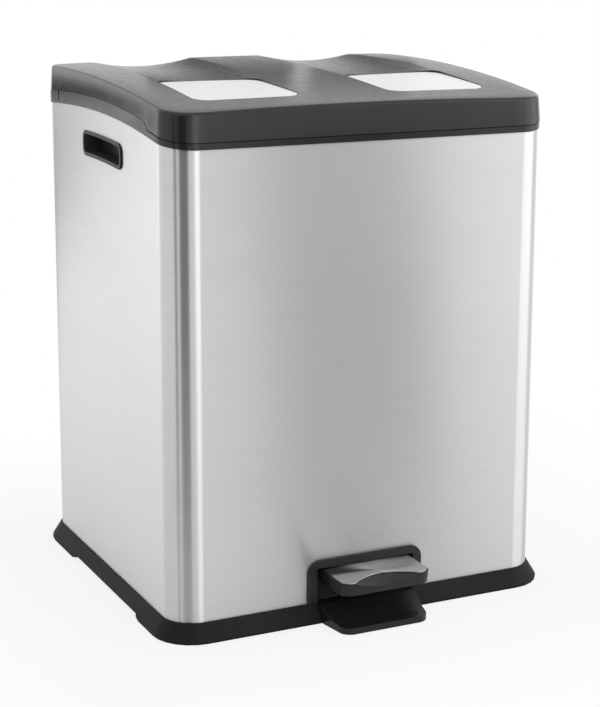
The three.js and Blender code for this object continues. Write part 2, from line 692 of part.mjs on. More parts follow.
function baseFrame() {
  const flare = (share) => SKIRT_LIP + (BASE_FLARE - SKIRT_LIP) * share;
  const layer = (z, out) => [z, HALF_WIDTH + out, HALF_DEPTH + out, BODY_CORNER + out];
  const skirt = ringLoft([layer(BASE_LIFT, flare(SKIRT_FOOT_SHARE)), layer(SKIRT_EDGE_Z, flare(1)),
    layer(SKIRT_TOP_Z - SKIRT_NECK, flare(SKIRT_NECK_SHARE)), layer(SKIRT_TOP_Z, flare(0))]);
  const inside = -SHEET - SEAT;
  const tub = bodyPrism(inside, BASE_LIFT, DECK_TOP_Z);
  const hollow = bodyPrism(inside - BASE_WALL, 0, DECK_UNDER_Z);
  const groove = bodyPrism(SEAT, GROOVE_FLOOR_Z, DECK_TOP_Z)
    .subtract(bodyPrism(inside, GROOVE_FLOOR_Z - OVER, DECK_TOP_Z + OVER));
  let base = skirt.add(tub).subtract(hollow).subtract(groove);
  for (const [, signX, signY] of footPlaces) {
    const boss = rodZ(FOOT_RADIUS + FOOT_BOSS_WALL, BASE_LIFT, DECK_UNDER_Z + OVER,
      signX * footX, signY * footY);
    const seat = rodZ(FOOT_RADIUS + SEAT, 0, FOOT_THICK + SEAT, signX * footX, signY * footY);
    base = base.add(boss).subtract(seat);
  }
  for (const sign of [-1, 1]) {
    const near = LEVER_HALF_WIDTH + BEARING_GAP;
    const inner = sign > 0 ? near : -near - BEARING_THICK;
    const cheek = block(inner, inner + BEARING_THICK, PIVOT_Y - BEARING_REACH,
      PIVOT_Y + BEARING_REACH, PIVOT_Z - BEARING_REACH, DECK_UNDER_Z + OVER);
    base = base.add(cheek);
  }
  base = base.subtract(rodX(PIVOT_RADIUS + RUN, -PASS, PASS, PIVOT_Y, PIVOT_Z));
  const half = PEDAL_OPENING_HALF + SURROUND_WALL + SEAT;
  const toeHalf = TOE_HALF_BACK + SEAT;
  base = base.subtract(block(-half, half, -TOE_REACH, TOE_BACK_Y + SEAT, SKIRT_TOP_Z - MERGE,
    DECK_TOP_Z + OVER));
  base = base.subtract(block(-toeHalf, toeHalf, -TOE_REACH, TOE_BACK_Y + SEAT, 0, SKIRT_TOP_Z));
  const hatchX = SHOE_HALF_X + SHOE_HATCH_SIDE;
  const hatchY = SHOE_HALF_Y + SHOE_HATCH_END;
  base = base.subtract(block(-hatchX, hatchX, ROD_Y - hatchY, ROD_Y + hatchY,
    DECK_UNDER_Z - OVER, DECK_TOP_Z + OVER));
  const arch = polygon([[ARCH_FRONT_Y - ARCH_SLOPE, -1], [ARCH_BACK_Y + ARCH_SLOPE, -1],
    [ARCH_BACK_Y + ARCH_SLOPE, BASE_LIFT], [ARCH_BACK_Y - ARCH_SLOPE, BASE_LIFT + SKIRT_ARCH],
    [ARCH_FRONT_Y + ARCH_SLOPE / 2, BASE_LIFT + SKIRT_ARCH],
    [ARCH_FRONT_Y - ARCH_SLOPE / 2, BASE_LIFT], [ARCH_FRONT_Y - ARCH_SLOPE, BASE_LIFT]]);
  const wide = HALF_WIDTH + PASS;
  return base.subtract(acrossX(arch, -wide, wide));
}

piece(standing, 'base_frame', baseFrame(), charcoal);

for (const [corner, signX, signY] of footPlaces) {
  const pad = piece(standing, `foot_pad_${corner}`, rodZ(FOOT_RADIUS, 0, FOOT_THICK, 0, 0), rubber);
  pad.position.set(signX * footX, signY * footY, 0);
}

// ---------------------------------------------------------------- collar
const openingInnerX = BUCKET_X - BUCKET_WIDTH / 2 - OPENING_CLEARANCE;
const openingOuterX = BUCKET_X + BUCKET_WIDTH / 2 + OPENING_CLEARANCE;

function earPair(sign) {
  const ears = [];
  for (const side of [-1, 1]) {
    const near = sign * HINGE_X + side * (KNUCKLE_WIDTH / 2 + SEAM_GAP);
    const x0 = Math.min(near, near + side * EAR_THICK);
    const stem = block(x0, x0 + EAR_THICK, HINGE_Y - KNUCKLE_RADIUS, HINGE_Y + KNUCKLE_RADIUS,
      FLANGE_TOP_Z - OVER, HINGE_Z);
    ears.push(stem.add(rodX(KNUCKLE_RADIUS, x0, x0 + EAR_THICK, HINGE_Y, HINGE_Z)));
  }
  return join(...ears);
}

function topCollar() {
  const under = FLANGE_TOP_Z - FLANGE_THICK;
  const inner = -SHEET - SEAT - COLLAR_WALL;
  let collar = bodyPrism(COLLAR_PROUD, under, TOP_LIMIT_Z);
  collar = collar.subtract(bodyPrism(inner, under - OVER, TOP_LIMIT_Z + OVER));
  collar = collar.subtract(beyondCurve(collarTopZ, TOP_LIMIT_Z + PASS));
  const behindSheet = bodyPrism(-SHEET - SEAT, 0, TOP_LIMIT_Z);
  collar = collar.subtract(beyondCurve(rimZ, 0).subtract(behindSheet));
  const groove = bodyPrism(SEAT, 0, TOP_LIMIT_Z)
    .subtract(bodyPrism(-SHEET - SEAT, -OVER, TOP_LIMIT_Z + OVER))
    .subtract(beyondCurve((y) => rimZ(y) + SHEET_TUCK + SEAT, TOP_LIMIT_Z + PASS));
  collar = collar.subtract(groove);
  collar = collar.add(bodyPrism(inner + OVER, under, FLANGE_TOP_Z));
  for (const sign of [-1, 1]) {
    const x0 = sign > 0 ? openingInnerX : -openingOuterX;
    const x1 = sign > 0 ? openingOuterX : -openingInnerX;
    const mouth = roundedRect(x0, x1, BUCKET_Y - BUCKET_DEPTH / 2 - OPENING_CLEARANCE,
      BUCKET_BACK_Y + OPENING_CLEARANCE, BUCKET_CORNER + OPENING_CLEARANCE);
    collar = collar.subtract(upright(mouth, under - OVER, FLANGE_TOP_Z + OVER));
    collar = collar.add(earPair(sign));
    const flank = sign * (HALF_WIDTH + COLLAR_PROUD - NOTCH_DEPTH);
    const outside = flank + sign * (NOTCH_DEPTH + OVER);
    const notch = block(Math.min(flank, outside), Math.max(flank, outside),
      NOTCH_Y - NOTCH_WIDTH / 2, NOTCH_Y + NOTCH_WIDTH / 2, seamZ(NOTCH_Y) - NOTCH_DROP,
      TOP_LIMIT_Z);
    collar = collar.subtract(notch);
  }
  collar = collar.subtract(rodX(HINGE_PIN_RADIUS + RUN, -HALF_WIDTH + PASS, HALF_WIDTH - PASS,
    HINGE_Y, HINGE_Z));
  return collar.subtract(rodZ(ROD_RADIUS + ROD_CLEARANCE, under - OVER, FLANGE_TOP_Z + OVER, 0, ROD_Y));
}

piece(standing, 'top_collar', topCollar(), charcoal);

for (const [side, sign] of [['left', -1], ['right', 1]]) {
  const pin = rodX(HINGE_PIN_RADIUS, -HINGE_PIN_LENGTH / 2, HINGE_PIN_LENGTH / 2, 0, 0);
  piece(standing, `hinge_pin_${side}`, pin, plainSteel).position.set(sign * HINGE_X, HINGE_Y, HINGE_Z);
}

// ---------------------------------------------------------------- carry handles
function carryHandle(sign) {
  const face = HALF_WIDTH + SEAT;
  const back = HALF_WIDTH - HANDLE_CUP_DEPTH;
  const rim = acrossX(handleOutline(0), face, HALF_WIDTH + HANDLE_PROUD + SEAT);
  const cup = acrossX(handleOutline(-HANDLE_RIM), back, face + MERGE);
  const space = acrossX(handleOutline(-HANDLE_RIM - HANDLE_WALL), back + HANDLE_WALL, face + PASS);
  const handle = rim.add(cup).subtract(space);
  return sign > 0 ? handle : handle.mirror([1, 0, 0]);
}

piece(standing, 'carry_handle_left', carryHandle(-1), black);
piece(standing, 'carry_handle_right', carryHandle(1), black);

// ---------------------------------------------------------------- pedal surround and toe plate
function pedalSurround() {
  const inner = PEDAL_OPENING_HALF;
  const face = new THREE.Shape();
  const foot = SKIRT_TOP_Z + SEAT;
  const w = SURROUND_HALF_WIDTH;
  const r = SURROUND_CORNER;
  face.moveTo(-w, foot);
  face.lineTo(w, foot);
  face.absarc(w - r, SURROUND_TOP_Z - r, r, 0, Math.PI / 2);
  face.absarc(-w + r, SURROUND_TOP_Z - r, r, Math.PI / 2, Math.PI);
  const front = FRONT_Y - SEAT;
  const plate = acrossY(face, front - SURROUND_PROUD, front);
  const sleeveHalf = inner + SURROUND_WALL;
  const sleeve = block(-sleeveHalf, sleeveHalf, front - MERGE, FRONT_Y + SURROUND_SLEEVE, foot,
    PEDAL_OPENING_TOP_Z + SURROUND_WALL);
  const hole = block(-inner, inner, front - PASS, FRONT_Y + PASS, 0, PEDAL_OPENING_TOP_Z);
  return plate.add(sleeve).subtract(hole);
}

piece(standing, 'pedal_surround', pedalSurround(), black);

function toePlate() {
  const front = -TOE_REACH;
  const shoulder = FRONT_Y - SKIRT_LIP;
  const shoulderBack = shoulder + TOE_SHOULDER_BEHIND;
  const shoulderFront = shoulder - TOE_SHOULDER_AHEAD;
  const dish = TOE_DISH.map(([out, z]) => [shoulderFront - out, z]);
  const profile = polygon([[front, BASE_LIFT], [TOE_BACK_Y, BASE_LIFT], [TOE_BACK_Y, TOE_LIP_Z],
    [shoulderBack, TOE_LIP_Z], [shoulderBack, TOE_SHOULDER_Z], [shoulderFront, TOE_SHOULDER_Z],
    ...dish, [front, TOE_LIP_Z]]);
  const plan = new THREE.Shape();
  const w = TOE_HALF_FRONT;
  const joint = -BASE_HALF_DEPTH;
  plan.moveTo(TOE_HALF_BACK, TOE_BACK_Y);
  plan.lineTo(-TOE_HALF_BACK, TOE_BACK_Y);
  plan.lineTo(-TOE_HALF_BACK, joint);
  plan.absarc(-w + TOE_CORNER, front + TOE_CORNER, TOE_CORNER, Math.PI, 1.5 * Math.PI);
  plan.absarc(w - TOE_CORNER, front + TOE_CORNER, TOE_CORNER, 1.5 * Math.PI, 2 * Math.PI);
  plan.lineTo(TOE_HALF_BACK, joint);
  const hull = upright(plan, BASE_LIFT, TOE_SHOULDER_Z + OVER);
  return acrossX(profile, -TOE_HALF_BACK, TOE_HALF_BACK).intersect(hull);
}

piece(standing, 'toe_plate', toePlate(), black);

// ---------------------------------------------------------------- pedal and lever
// Plan outline of the pedal: square at the back, rounded tips, a scallop of given depth between.
function pedalOutline(halfWidth, backY, frontY, scallop) {
  const tipX = PEDAL_TIP_X;
  const side = frontY + PEDAL_TIP_SETBACK;
  const points = [[halfWidth, backY], [-halfWidth, backY], [-halfWidth, side]];
  for (let i = 1; i <= 5; i += 1) {
    const angle = 0.5 * Math.PI * i / 5;
    points.push([-halfWidth + (halfWidth - tipX) * (1 - Math.cos(angle)),
      side - PEDAL_TIP_SETBACK * Math.sin(angle)]);
  }
  for (let i = 1; i < 12; i += 1) {
    const t = -1 + 2 * i / 12;
    points.push([tipX * t, frontY + scallop * (1 - t * t)]);
  }
  for (let i = 5; i >= 0; i -= 1) {
    const angle = 0.5 * Math.PI * i / 5;
    points.push([halfWidth - (halfWidth - tipX) * (1 - Math.cos(angle)),
      side - PEDAL_TIP_SETBACK * Math.sin(angle)]);
  }
  return points.map(([x, y]) => new THREE.Vector2(x, y));
}

const screwYs = [LEVER_FRONT_Y + PEDAL_SCREW_INSET, LEVER_BEND_Y - PEDAL_SCREW_INSET];
const leverTop = LEVER_FRONT_Z + LEVER_THICK / 2;
const leverUnder = LEVER_FRONT_Z - LEVER_THICK / 2;
const padTop = PEDAL_TOP_Z - COVER_THICK - SEAT;
const screwTop = padTop - PAD_SKIN;

function pedalPad() {
  const front = -PEDAL_REACH;
  const w = PEDAL_HALF_WIDTH;
  const layers = [
    { z: PEDAL_BOTTOM_Z, points: pedalOutline(w - PAD_FOOT_INSET, PEDAL_BACK_Y,
      front + PAD_FOOT_INSET, 0) },
    { z: PEDAL_BOTTOM_Z + PAD_FOOT_HEIGHT, points: pedalOutline(w, PEDAL_BACK_Y, front, 0) },
    { z: padTop, points: pedalOutline(w, PEDAL_BACK_Y, front, PEDAL_SCALLOP) },
  ];
  const channel = block(-LEVER_HALF_WIDTH - SEAT, LEVER_HALF_WIDTH + SEAT, LEVER_FRONT_Y - SEAT,
    PEDAL_BACK_Y + PASS, PEDAL_BOTTOM_Z - OVER, leverTop + SEAT);
  let pad = loft(layers).subtract(channel);
  for (const y of screwYs) {
    pad = pad.subtract(rodZ(SCREW_RADIUS + SEAT, leverTop, screwTop + SEAT, 0, y));
  }
  return pad;
}

function pedalCover() {
  const outline = pedalOutline(PEDAL_HALF_WIDTH - COVER_MARGIN, FRONT_Y - COVER_BACK_GAP,
    -PEDAL_REACH + COVER_FRONT_GAP, PEDAL_SCALLOP);
  return upright(new THREE.Shape(outline), PEDAL_TOP_Z - COVER_THICK, PEDAL_TOP_Z);
}

function pedalLever() {
  const half = LEVER_THICK / 2;
  const bar = polygon([[LEVER_FRONT_Y, leverUnder], [LEVER_BEND_Y, leverUnder],
    [LEVER_BACK_Y, LEVER_BACK_Z - half], [LEVER_BACK_Y, LEVER_BACK_Z + half],
    [LEVER_BEND_Y, leverTop], [LEVER_FRONT_Y, leverTop]]);
  const share = (PIVOT_Y - LEVER_BEND_Y) / (LEVER_BACK_Y - LEVER_BEND_Y);
  const barZ = LEVER_FRONT_Z + (LEVER_BACK_Z - LEVER_FRONT_Z) * share;
  const lug = block(-LEVER_HALF_WIDTH, LEVER_HALF_WIDTH, PIVOT_Y - LEVER_LUG_RADIUS,
    PIVOT_Y + LEVER_LUG_RADIUS, PIVOT_Z, barZ);
  let lever = acrossX(bar, -LEVER_HALF_WIDTH, LEVER_HALF_WIDTH).add(lug);
  lever = lever.add(rodX(LEVER_LUG_RADIUS, -LEVER_HALF_WIDTH, LEVER_HALF_WIDTH, PIVOT_Y, PIVOT_Z));
  lever = lever.subtract(rodX(PIVOT_RADIUS + RUN, -PASS, PASS, PIVOT_Y, PIVOT_Z));
  for (const y of screwYs) {
    lever = lever.subtract(rodZ(SCREW_RADIUS + SEAT, leverUnder - OVER, leverTop + OVER, 0, y));
  }
  return lever;
}

// A screw standing at the origin, head down, its shank up.
function screw(length) {
  const head = rodZ(SCREW_HEAD_RADIUS, -SCREW_HEAD_THICK, 0, 0, 0);
  return head.add(rodZ(SCREW_RADIUS, -SCREW_HEAD_THICK / 2, length, 0, 0));
}

piece(pedal, 'pedal_pad', pedalPad(), black);
piece(pedal, 'pedal_cover', pedalCover(), brushedSteel);
piece(pedal, 'pedal_lever', pedalLever(), plainSteel);
['front', 'back'].forEach((place, i) => {
  const fastener = screw(screwTop - leverUnder);
  piece(pedal, `pedal_screw_${place}`, fastener, plainSteel)
    .position.set(0, screwYs[i], leverUnder - SEAT);
});

const pivotPin = rodX(PIVOT_RADIUS, -PIVOT_HALF, PIVOT_HALF, 0, 0);
piece(standing, 'pedal_pivot_pin', pivotPin, plainSteel).position.set(0, PIVOT_Y, PIVOT_Z);

// ---------------------------------------------------------------- lift rod and damper
const leverBackTop = LEVER_BACK_Z + LEVER_THICK / 2
  + (LEVER_FRONT_Z - LEVER_BACK_Z) * (LEVER_BACK_Y - ROD_Y + SHOE_HALF_Y)
  / (LEVER_BACK_Y - LEVER_BEND_Y);
const shoeUnder = leverBackTop + SEAT;
const shoeTop = shoeUnder + SHOE_THICK;
const headUnder = HEAD_TOP_Z - HEAD_THICK;

const rod = rodZ(ROD_RADIUS, shoeTop - ROD_SOCKET, headUnder + ROD_SOCKET, 0, ROD_Y);
piece(lift, 'lift_rod', rod, plainSteel);
const shoe = block(-SHOE_HALF_X, SHOE_HALF_X, ROD_Y - SHOE_HALF_Y, LEVER_BACK_Y, shoeUnder, shoeTop);
piece(lift, 'rod_shoe', shoe.subtract(
  rodZ(ROD_RADIUS + SEAT, shoeTop - ROD_SOCKET - SEAT, shoeTop + OVER, 0, ROD_Y)), black);
const head = block(-HEAD_HALF_X, HEAD_HALF_X, HEAD_FRONT_Y, HEAD_BACK_Y, headUnder, HEAD_TOP_Z);
piece(lift, 'rod_head', head.subtract(
  rodZ(ROD_RADIUS + SEAT, headUnder - OVER, headUnder + ROD_SOCKET + SEAT, 0, ROD_Y)), black);

[GUIDE_LOWER_Z, GUIDE_UPPER_Z].forEach((z, i) => {
  const back = HALF_DEPTH - SHEET - SEAT;
  const top = z + GUIDE_THICK;
  const front = ROD_Y - ROD_RADIUS - GUIDE_WALL;
  const pad = GUIDE_HALF_X + GUIDE_PAD_SIDE;
  const guide = block(-GUIDE_HALF_X, GUIDE_HALF_X, front, back, z, top)
    .add(block(-pad, pad, back - GUIDE_PAD_THICK, back, z - GUIDE_PAD_END, top + GUIDE_PAD_END))
    .subtract(rodZ(ROD_RADIUS + SEAT, z - OVER, top + OVER, 0, ROD_Y));
  piece(standing, `rod_guide_${['lower', 'upper'][i]}`, guide, black);
});

const damperFoot = DECK_TOP_Z + SEAT;
const damperTop = damperFoot + DAMPER_LENGTH;
const damperBore = DAMPER_RADIUS - DAMPER_WALL;

function damperCylinder() {
  const tube = rodZ(DAMPER_RADIUS, damperFoot, damperTop, DAMPER_X, DAMPER_Y);
  const foot = rodZ(DAMPER_FOOT_RADIUS, damperFoot, damperFoot + DAMPER_FOOT_THICK, DAMPER_X, DAMPER_Y);
  const bore = rodZ(damperBore, damperFoot + DAMPER_FOOT_THICK, damperTop + OVER, DAMPER_X, DAMPER_Y);
  return tube.add(foot).subtract(bore);
}

function damperPiston() {
  const discZ = damperFoot + DAMPER_FOOT_THICK + PISTON_REST;
  const disc = rodZ(damperBore - SEAT, discZ, discZ + PISTON_THICK, DAMPER_X, DAMPER_Y);
  return disc.add(rodZ(DAMPER_ROD_RADIUS, discZ, CROSSHEAD_Z - SEAT, DAMPER_X, DAMPER_Y));
}

function damperCap() {
  const plug = rodZ(damperBore - SEAT, damperTop - DAMPER_CAP_THICK, damperTop + SEAM_GAP, DAMPER_X,
    DAMPER_Y);
  const brim = rodZ(DAMPER_RADIUS, damperTop + SEAT, damperTop + DAMPER_BRIM, DAMPER_X, DAMPER_Y);
  const hole = rodZ(DAMPER_ROD_RADIUS + SEAT, damperTop - PASS, damperTop + PASS, DAMPER_X, DAMPER_Y);
  return plug.add(brim).subtract(hole);
}

piece(standing, 'damper_cylinder', damperCylinder(), plainSteel);
piece(standing, 'damper_cap', damperCap(), black);
piece(lift, 'damper_piston', damperPiston(), plainSteel);
const crosshead = block(-CROSSHEAD_HALF, DAMPER_X + CROSSHEAD_HALF, ROD_Y - CROSSHEAD_HALF / 2,
  DAMPER_Y + CROSSHEAD_HALF, CROSSHEAD_Z, CROSSHEAD_Z + CROSSHEAD_THICK);
piece(lift, 'rod_crosshead', crosshead.subtract(
  rodZ(ROD_RADIUS + SEAT, CROSSHEAD_Z - OVER, CROSSHEAD_Z + CROSSHEAD_THICK + OVER, 0, ROD_Y)), black);

// ---------------------------------------------------------------- lid
function lidPrism(inset, z0, z1) {
  const layer = (z) => {
    const lean = LID_DRAFT * (z - RIM_FRONT_Z) / (LID_CENTRE_BACK_Z - RIM_FRONT_Z);
    const out = -LID_INSET - inset - lean;
    return [z, HALF_WIDTH + out, HALF_DEPTH + out, LID_CORNER - inset - lean];
  };
  return ringLoft([layer(z0), layer(z1)]);
}

function plateX(y, edge) {
  return edge > 0 ? outerCrease(y) - PLATE_MARGIN : innerCrease(y) + PLATE_MARGIN;
}

// A label plate's plan, set out by a clearance.
function plateOutline(grow) {
  const x0 = plateX(PLATE_FRONT_Y, -1) - grow;
  const x1 = plateX(PLATE_BACK_Y, 1) + grow;
  return roundedRect(x0, x1, PLATE_FRONT_Y - grow, PLATE_BACK_Y + grow, PLATE_CORNER + grow);
}

function plateSide(sign, shape) {
  return sign > 0 ? shape : shape.mirror([1, 0, 0]);
}

function labelPlate(sign) {
  const top = underSurface(plateTopZ, RIM_FRONT_Z);
  const under = underSurface((x, y) => plateTopZ(x, y) - PLATE_THICK, RIM_FRONT_Z - OVER);
  const plan = upright(plateOutline(0), RIM_FRONT_Z, TOP_LIMIT_Z);
  return plateSide(sign, plan.intersect(top).subtract(under));
}

const crankPlateZ = lidCrownZ(0, CRANK_Y) - LID_TOP_THICK - CRANK_PLATE_DROP - SEAT;
const crankScrewX = CRANK_PLATE_HALF - CRANK_SCREW_INSET;

function lidShell() {
  const outer = underSurface(lidTopZ, RIM_FRONT_Z - 2 * OVER).intersect(
    lidPrism(0, RIM_FRONT_Z - OVER, TOP_LIMIT_Z));
  const inner = underSurface((x, y) => lidTopZ(x, y) - LID_TOP_THICK, RIM_FRONT_Z - PASS)
    .intersect(lidPrism(LID_WALL, RIM_FRONT_Z - PASS, TOP_LIMIT_Z));
  let shell = outer.subtract(inner).subtract(beyondCurve(lidBottomZ, 0));
  for (const sign of [-1, 1]) {
    const pocketFloor = underSurface((x, y) => plateTopZ(x, y) - PLATE_THICK - SEAT,
      RIM_FRONT_Z - OVER);
    const pocket = upright(plateOutline(SEAT), RIM_FRONT_Z, TOP_LIMIT_Z).subtract(pocketFloor);
    shell = shell.subtract(plateSide(sign, pocket));
    const x = sign * HINGE_X;
    const slotHalf = KNUCKLE_WIDTH / 2 + SEAM_GAP + EAR_THICK + HINGE_SLOT_MARGIN;
    shell = shell.subtract(block(x - slotHalf, x + slotHalf, HINGE_Y - KNUCKLE_RADIUS,
      HALF_DEPTH + PASS, RIM_FRONT_Z, HINGE_Z + KNUCKLE_RADIUS + SEAM_GAP));
    const roof = lidTopZ(x, HINGE_Y) - LID_TOP_THICK / 2;
    const knuckle = block(x - KNUCKLE_WIDTH / 2, x + KNUCKLE_WIDTH / 2, HINGE_Y - KNUCKLE_RADIUS,
      HINGE_Y + KNUCKLE_RADIUS, HINGE_Z, roof).add(rodX(KNUCKLE_RADIUS,
      x - KNUCKLE_WIDTH / 2, x + KNUCKLE_WIDTH / 2, HINGE_Y, HINGE_Z));
    shell = shell.add(knuckle);
    const drill = rodZ(SCREW_RADIUS + SEAT, crankPlateZ - PASS,
      crankPlateZ + CRANK_SCREW_BITE + SEAT, sign * crankScrewX, CRANK_Y);
    shell = shell.subtract(drill);
  }
  return shell.subtract(rodX(HINGE_PIN_RADIUS + RUN, -HALF_WIDTH + PASS, HALF_WIDTH - PASS,
    HINGE_Y, HINGE_Z));
}

function lidInnerPanel() {
  const collarInside = HALF_WIDTH - SHEET - SEAT - COLLAR_WALL;
  const half = collarInside - LINER_SIDE_GAP;
  const front = FRONT_Y + LID_INSET + LID_DRAFT + LID_WALL + LINER_FRONT_GAP;
  let panel = upright(roundedRect(-half, half, front, LINER_BACK_Y, LINER_CORNER), LINER_Z,
    LINER_Z + LINER_THICK);
  for (const x of [-LINER_POST_X, LINER_POST_X]) {
    for (const y of [LINER_POST_FRONT_Y, LINER_POST_BACK_Y]) {
      const reach = Math.min(lidTopZ(x, y - LINER_POST_RADIUS), lidTopZ(x, y + LINER_POST_RADIUS),
        lidTopZ(x - LINER_POST_RADIUS, y), lidTopZ(x + LINER_POST_RADIUS, y));
      panel = panel.add(rodZ(LINER_POST_RADIUS, LINER_Z + LINER_THICK / 2,
        reach - LID_TOP_THICK - SEAT, x, y));
    }
  }
  return panel;
}

function lidCrank() {
  const top = crankPlateZ;
  const plate = block(-CRANK_PLATE_HALF, CRANK_PLATE_HALF, CRANK_Y - CRANK_PLATE_REACH,
    CRANK_Y + CRANK_PLATE_REACH, top - CRANK_PLATE_THICK, top);
  let crank = plate.add(rodX(CRANK_PIN_RADIUS, -CRANK_HALF, CRANK_HALF, CRANK_Y, CRANK_Z));
  for (const x of [-CRANK_HALF, CRANK_HALF - CRANK_ARM]) {
    crank = crank.add(block(x, x + CRANK_ARM, CRANK_Y - CRANK_PIN_RADIUS, CRANK_Y + CRANK_PIN_RADIUS,
      CRANK_Z, top - CRANK_PLATE_THICK / 2));
  }
  for (const sign of [-1, 1]) {
    crank = crank.subtract(rodZ(SCREW_RADIUS + SEAT, top - CRANK_PLATE_THICK - OVER, top + OVER,
      sign * crankScrewX, CRANK_Y));
  }
  return crank;
}

piece(lid, 'lid_shell', lidShell(), charcoal);
piece(lid, 'lid_inner_panel', lidInnerPanel(), charcoal);
piece(lid, 'label_plate_left', labelPlate(-1), labelWhite);
piece(lid, 'label_plate_right', labelPlate(1), labelWhite);
piece(lid, 'lid_crank', lidCrank(), plainSteel);
for (const [side, sign] of [['left', -1], ['right', 1]]) {
  piece(lid, `crank_screw_${side}`, screw(CRANK_PLATE_THICK + CRANK_SCREW_BITE), plainSteel)
    .position.set(sign * crankScrewX, CRANK_Y, crankPlateZ - CRANK_PLATE_THICK - SEAT);
}

// ---------------------------------------------------------------- buckets and bails
const bucketFoot = DECK_TOP_Z + SEAT;
const bailPivotZ = BUCKET_TOP_Z + BAIL_RAISE;
const bailHalf = BUCKET_WIDTH / 2 - BAIL_INSET;

function bucket() {
  const halfX = BUCKET_WIDTH / 2;
  const halfY = BUCKET_DEPTH / 2;
  const bandZ = BUCKET_TOP_Z - RIM_BAND_HEIGHT;
  const neck = (inset, z) => [z, halfX - RIM_BAND_WIDTH - inset, halfY - RIM_BAND_WIDTH - inset,
    BUCKET_CORNER - RIM_BAND_WIDTH - inset];
  const foot = (inset, z) => [z, halfX - BUCKET_TAPER_X - RIM_BAND_WIDTH - inset,
    halfY - BUCKET_TAPER_Y - RIM_BAND_WIDTH - inset, BUCKET_CORNER - RIM_BAND_WIDTH - inset];
  const band = (inset, z) => [z, halfX - inset, halfY - inset, BUCKET_CORNER - inset];
  let pail = ringLoft([foot(0, bucketFoot), neck(0, bandZ + OVER)]);
  pail = pail.add(ringLoft([neck(0, bandZ), neck(0, BUCKET_TOP_Z)]));
  const lip = ringLoft([band(0, bandZ), band(0, BUCKET_TOP_Z)])
    .subtract(ringLoft([band(RIM_SKIN, bandZ - OVER), band(RIM_SKIN, BUCKET_TOP_Z - RIM_SKIN)])
      .subtract(ringLoft([neck(0, bandZ - 2 * OVER), neck(0, BUCKET_TOP_Z)])));
  pail = pail.add(lip);
  const wall = BUCKET_WALL;
  pail = pail.subtract(ringLoft([foot(wall, bucketFoot + wall), neck(wall, BUCKET_TOP_Z + OVER)]));
  for (const sign of [-1, 1]) {
    const near = sign * (bailHalf + BAIL_RADIUS + SEAT);
    const far = near + sign * BAIL_EAR_THICK;
    const ear = block(Math.min(near, far), Math.max(near, far), -BAIL_EAR_WIDTH / 2,
      BAIL_EAR_WIDTH / 2, BUCKET_TOP_Z - RIM_SKIN, BUCKET_TOP_Z + BAIL_EAR_HEIGHT);
    pail = pail.add(ear);
  }
  return pail.subtract(rodX(BAIL_RADIUS + RUN, -halfX, halfX, 0, bailPivotZ));
}

// The wire in its own frame: the pivot axis is X, the arms run along -Y.
function bailWire() {
  const end = bailHalf + BAIL_RADIUS + SEAT + BAIL_EAR_THICK;
  const path = new THREE.CurvePath();
  const v = (x, y) => new THREE.Vector3(x, y, 0);
  const r = BAIL_CORNER;
  const far = -BAIL_LENGTH;
  path.add(new THREE.LineCurve3(v(-bailHalf, 0), v(-bailHalf, far + r)));
  path.add(new THREE.QuadraticBezierCurve3(v(-bailHalf, far + r), v(-bailHalf, far),
    v(-bailHalf + r, far)));
  path.add(new THREE.LineCurve3(v(-bailHalf + r, far), v(bailHalf - r, far)));
  path.add(new THREE.QuadraticBezierCurve3(v(bailHalf - r, far), v(bailHalf, far),
    v(bailHalf, far + r)));
  path.add(new THREE.LineCurve3(v(bailHalf, far + r), v(bailHalf, 0)));
  const section = new THREE.Shape();
  section.absarc(0, 0, BAIL_RADIUS, 0, 2 * Math.PI);
  const options = { steps: BAIL_STEPS, extrudePath: path, curveSegments: 4, bevelEnabled: false };
  let wire = solid(new THREE.ExtrudeGeometry(section, options));
  for (const sign of [-1, 1]) {
    const x0 = sign > 0 ? bailHalf : -end;
    wire = wire.add(rodX(BAIL_RADIUS, x0, x0 + end - bailHalf, 0, 0));
    const elbow = new THREE.SphereGeometry(BAIL_RADIUS, 8, 6).translate(sign * bailHalf, 0, 0);
    wire = wire.add(solid(elbow));
  }
  return wire;
}

function bailGrip() {
  const grip = rodX(GRIP_RADIUS, -GRIP_LENGTH / 2, GRIP_LENGTH / 2, -BAIL_LENGTH, 0);
  return grip.subtract(rodX(BAIL_RADIUS + SEAT, -GRIP_LENGTH, GRIP_LENGTH, -BAIL_LENGTH, 0));
}

for (const [side, sign] of [['left', -1], ['right', 1]]) {
  const holder = new THREE.Group();
  holder.position.set(sign * BUCKET_X, BUCKET_Y, 0);
  bin.add(holder);
  piece(holder, `bucket_${side}`, bucket(), bucketGrey);
  piece(holder, `bail_${side}`, bailWire(), plainSteel).position.z = bailPivotZ;
  piece(holder, `bail_grip_${side}`, bailGrip(), black).position.z = bailPivotZ;
}

export default bin;
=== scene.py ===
import json
import math

import bmesh
import bpy
from mathutils import Matrix, Vector


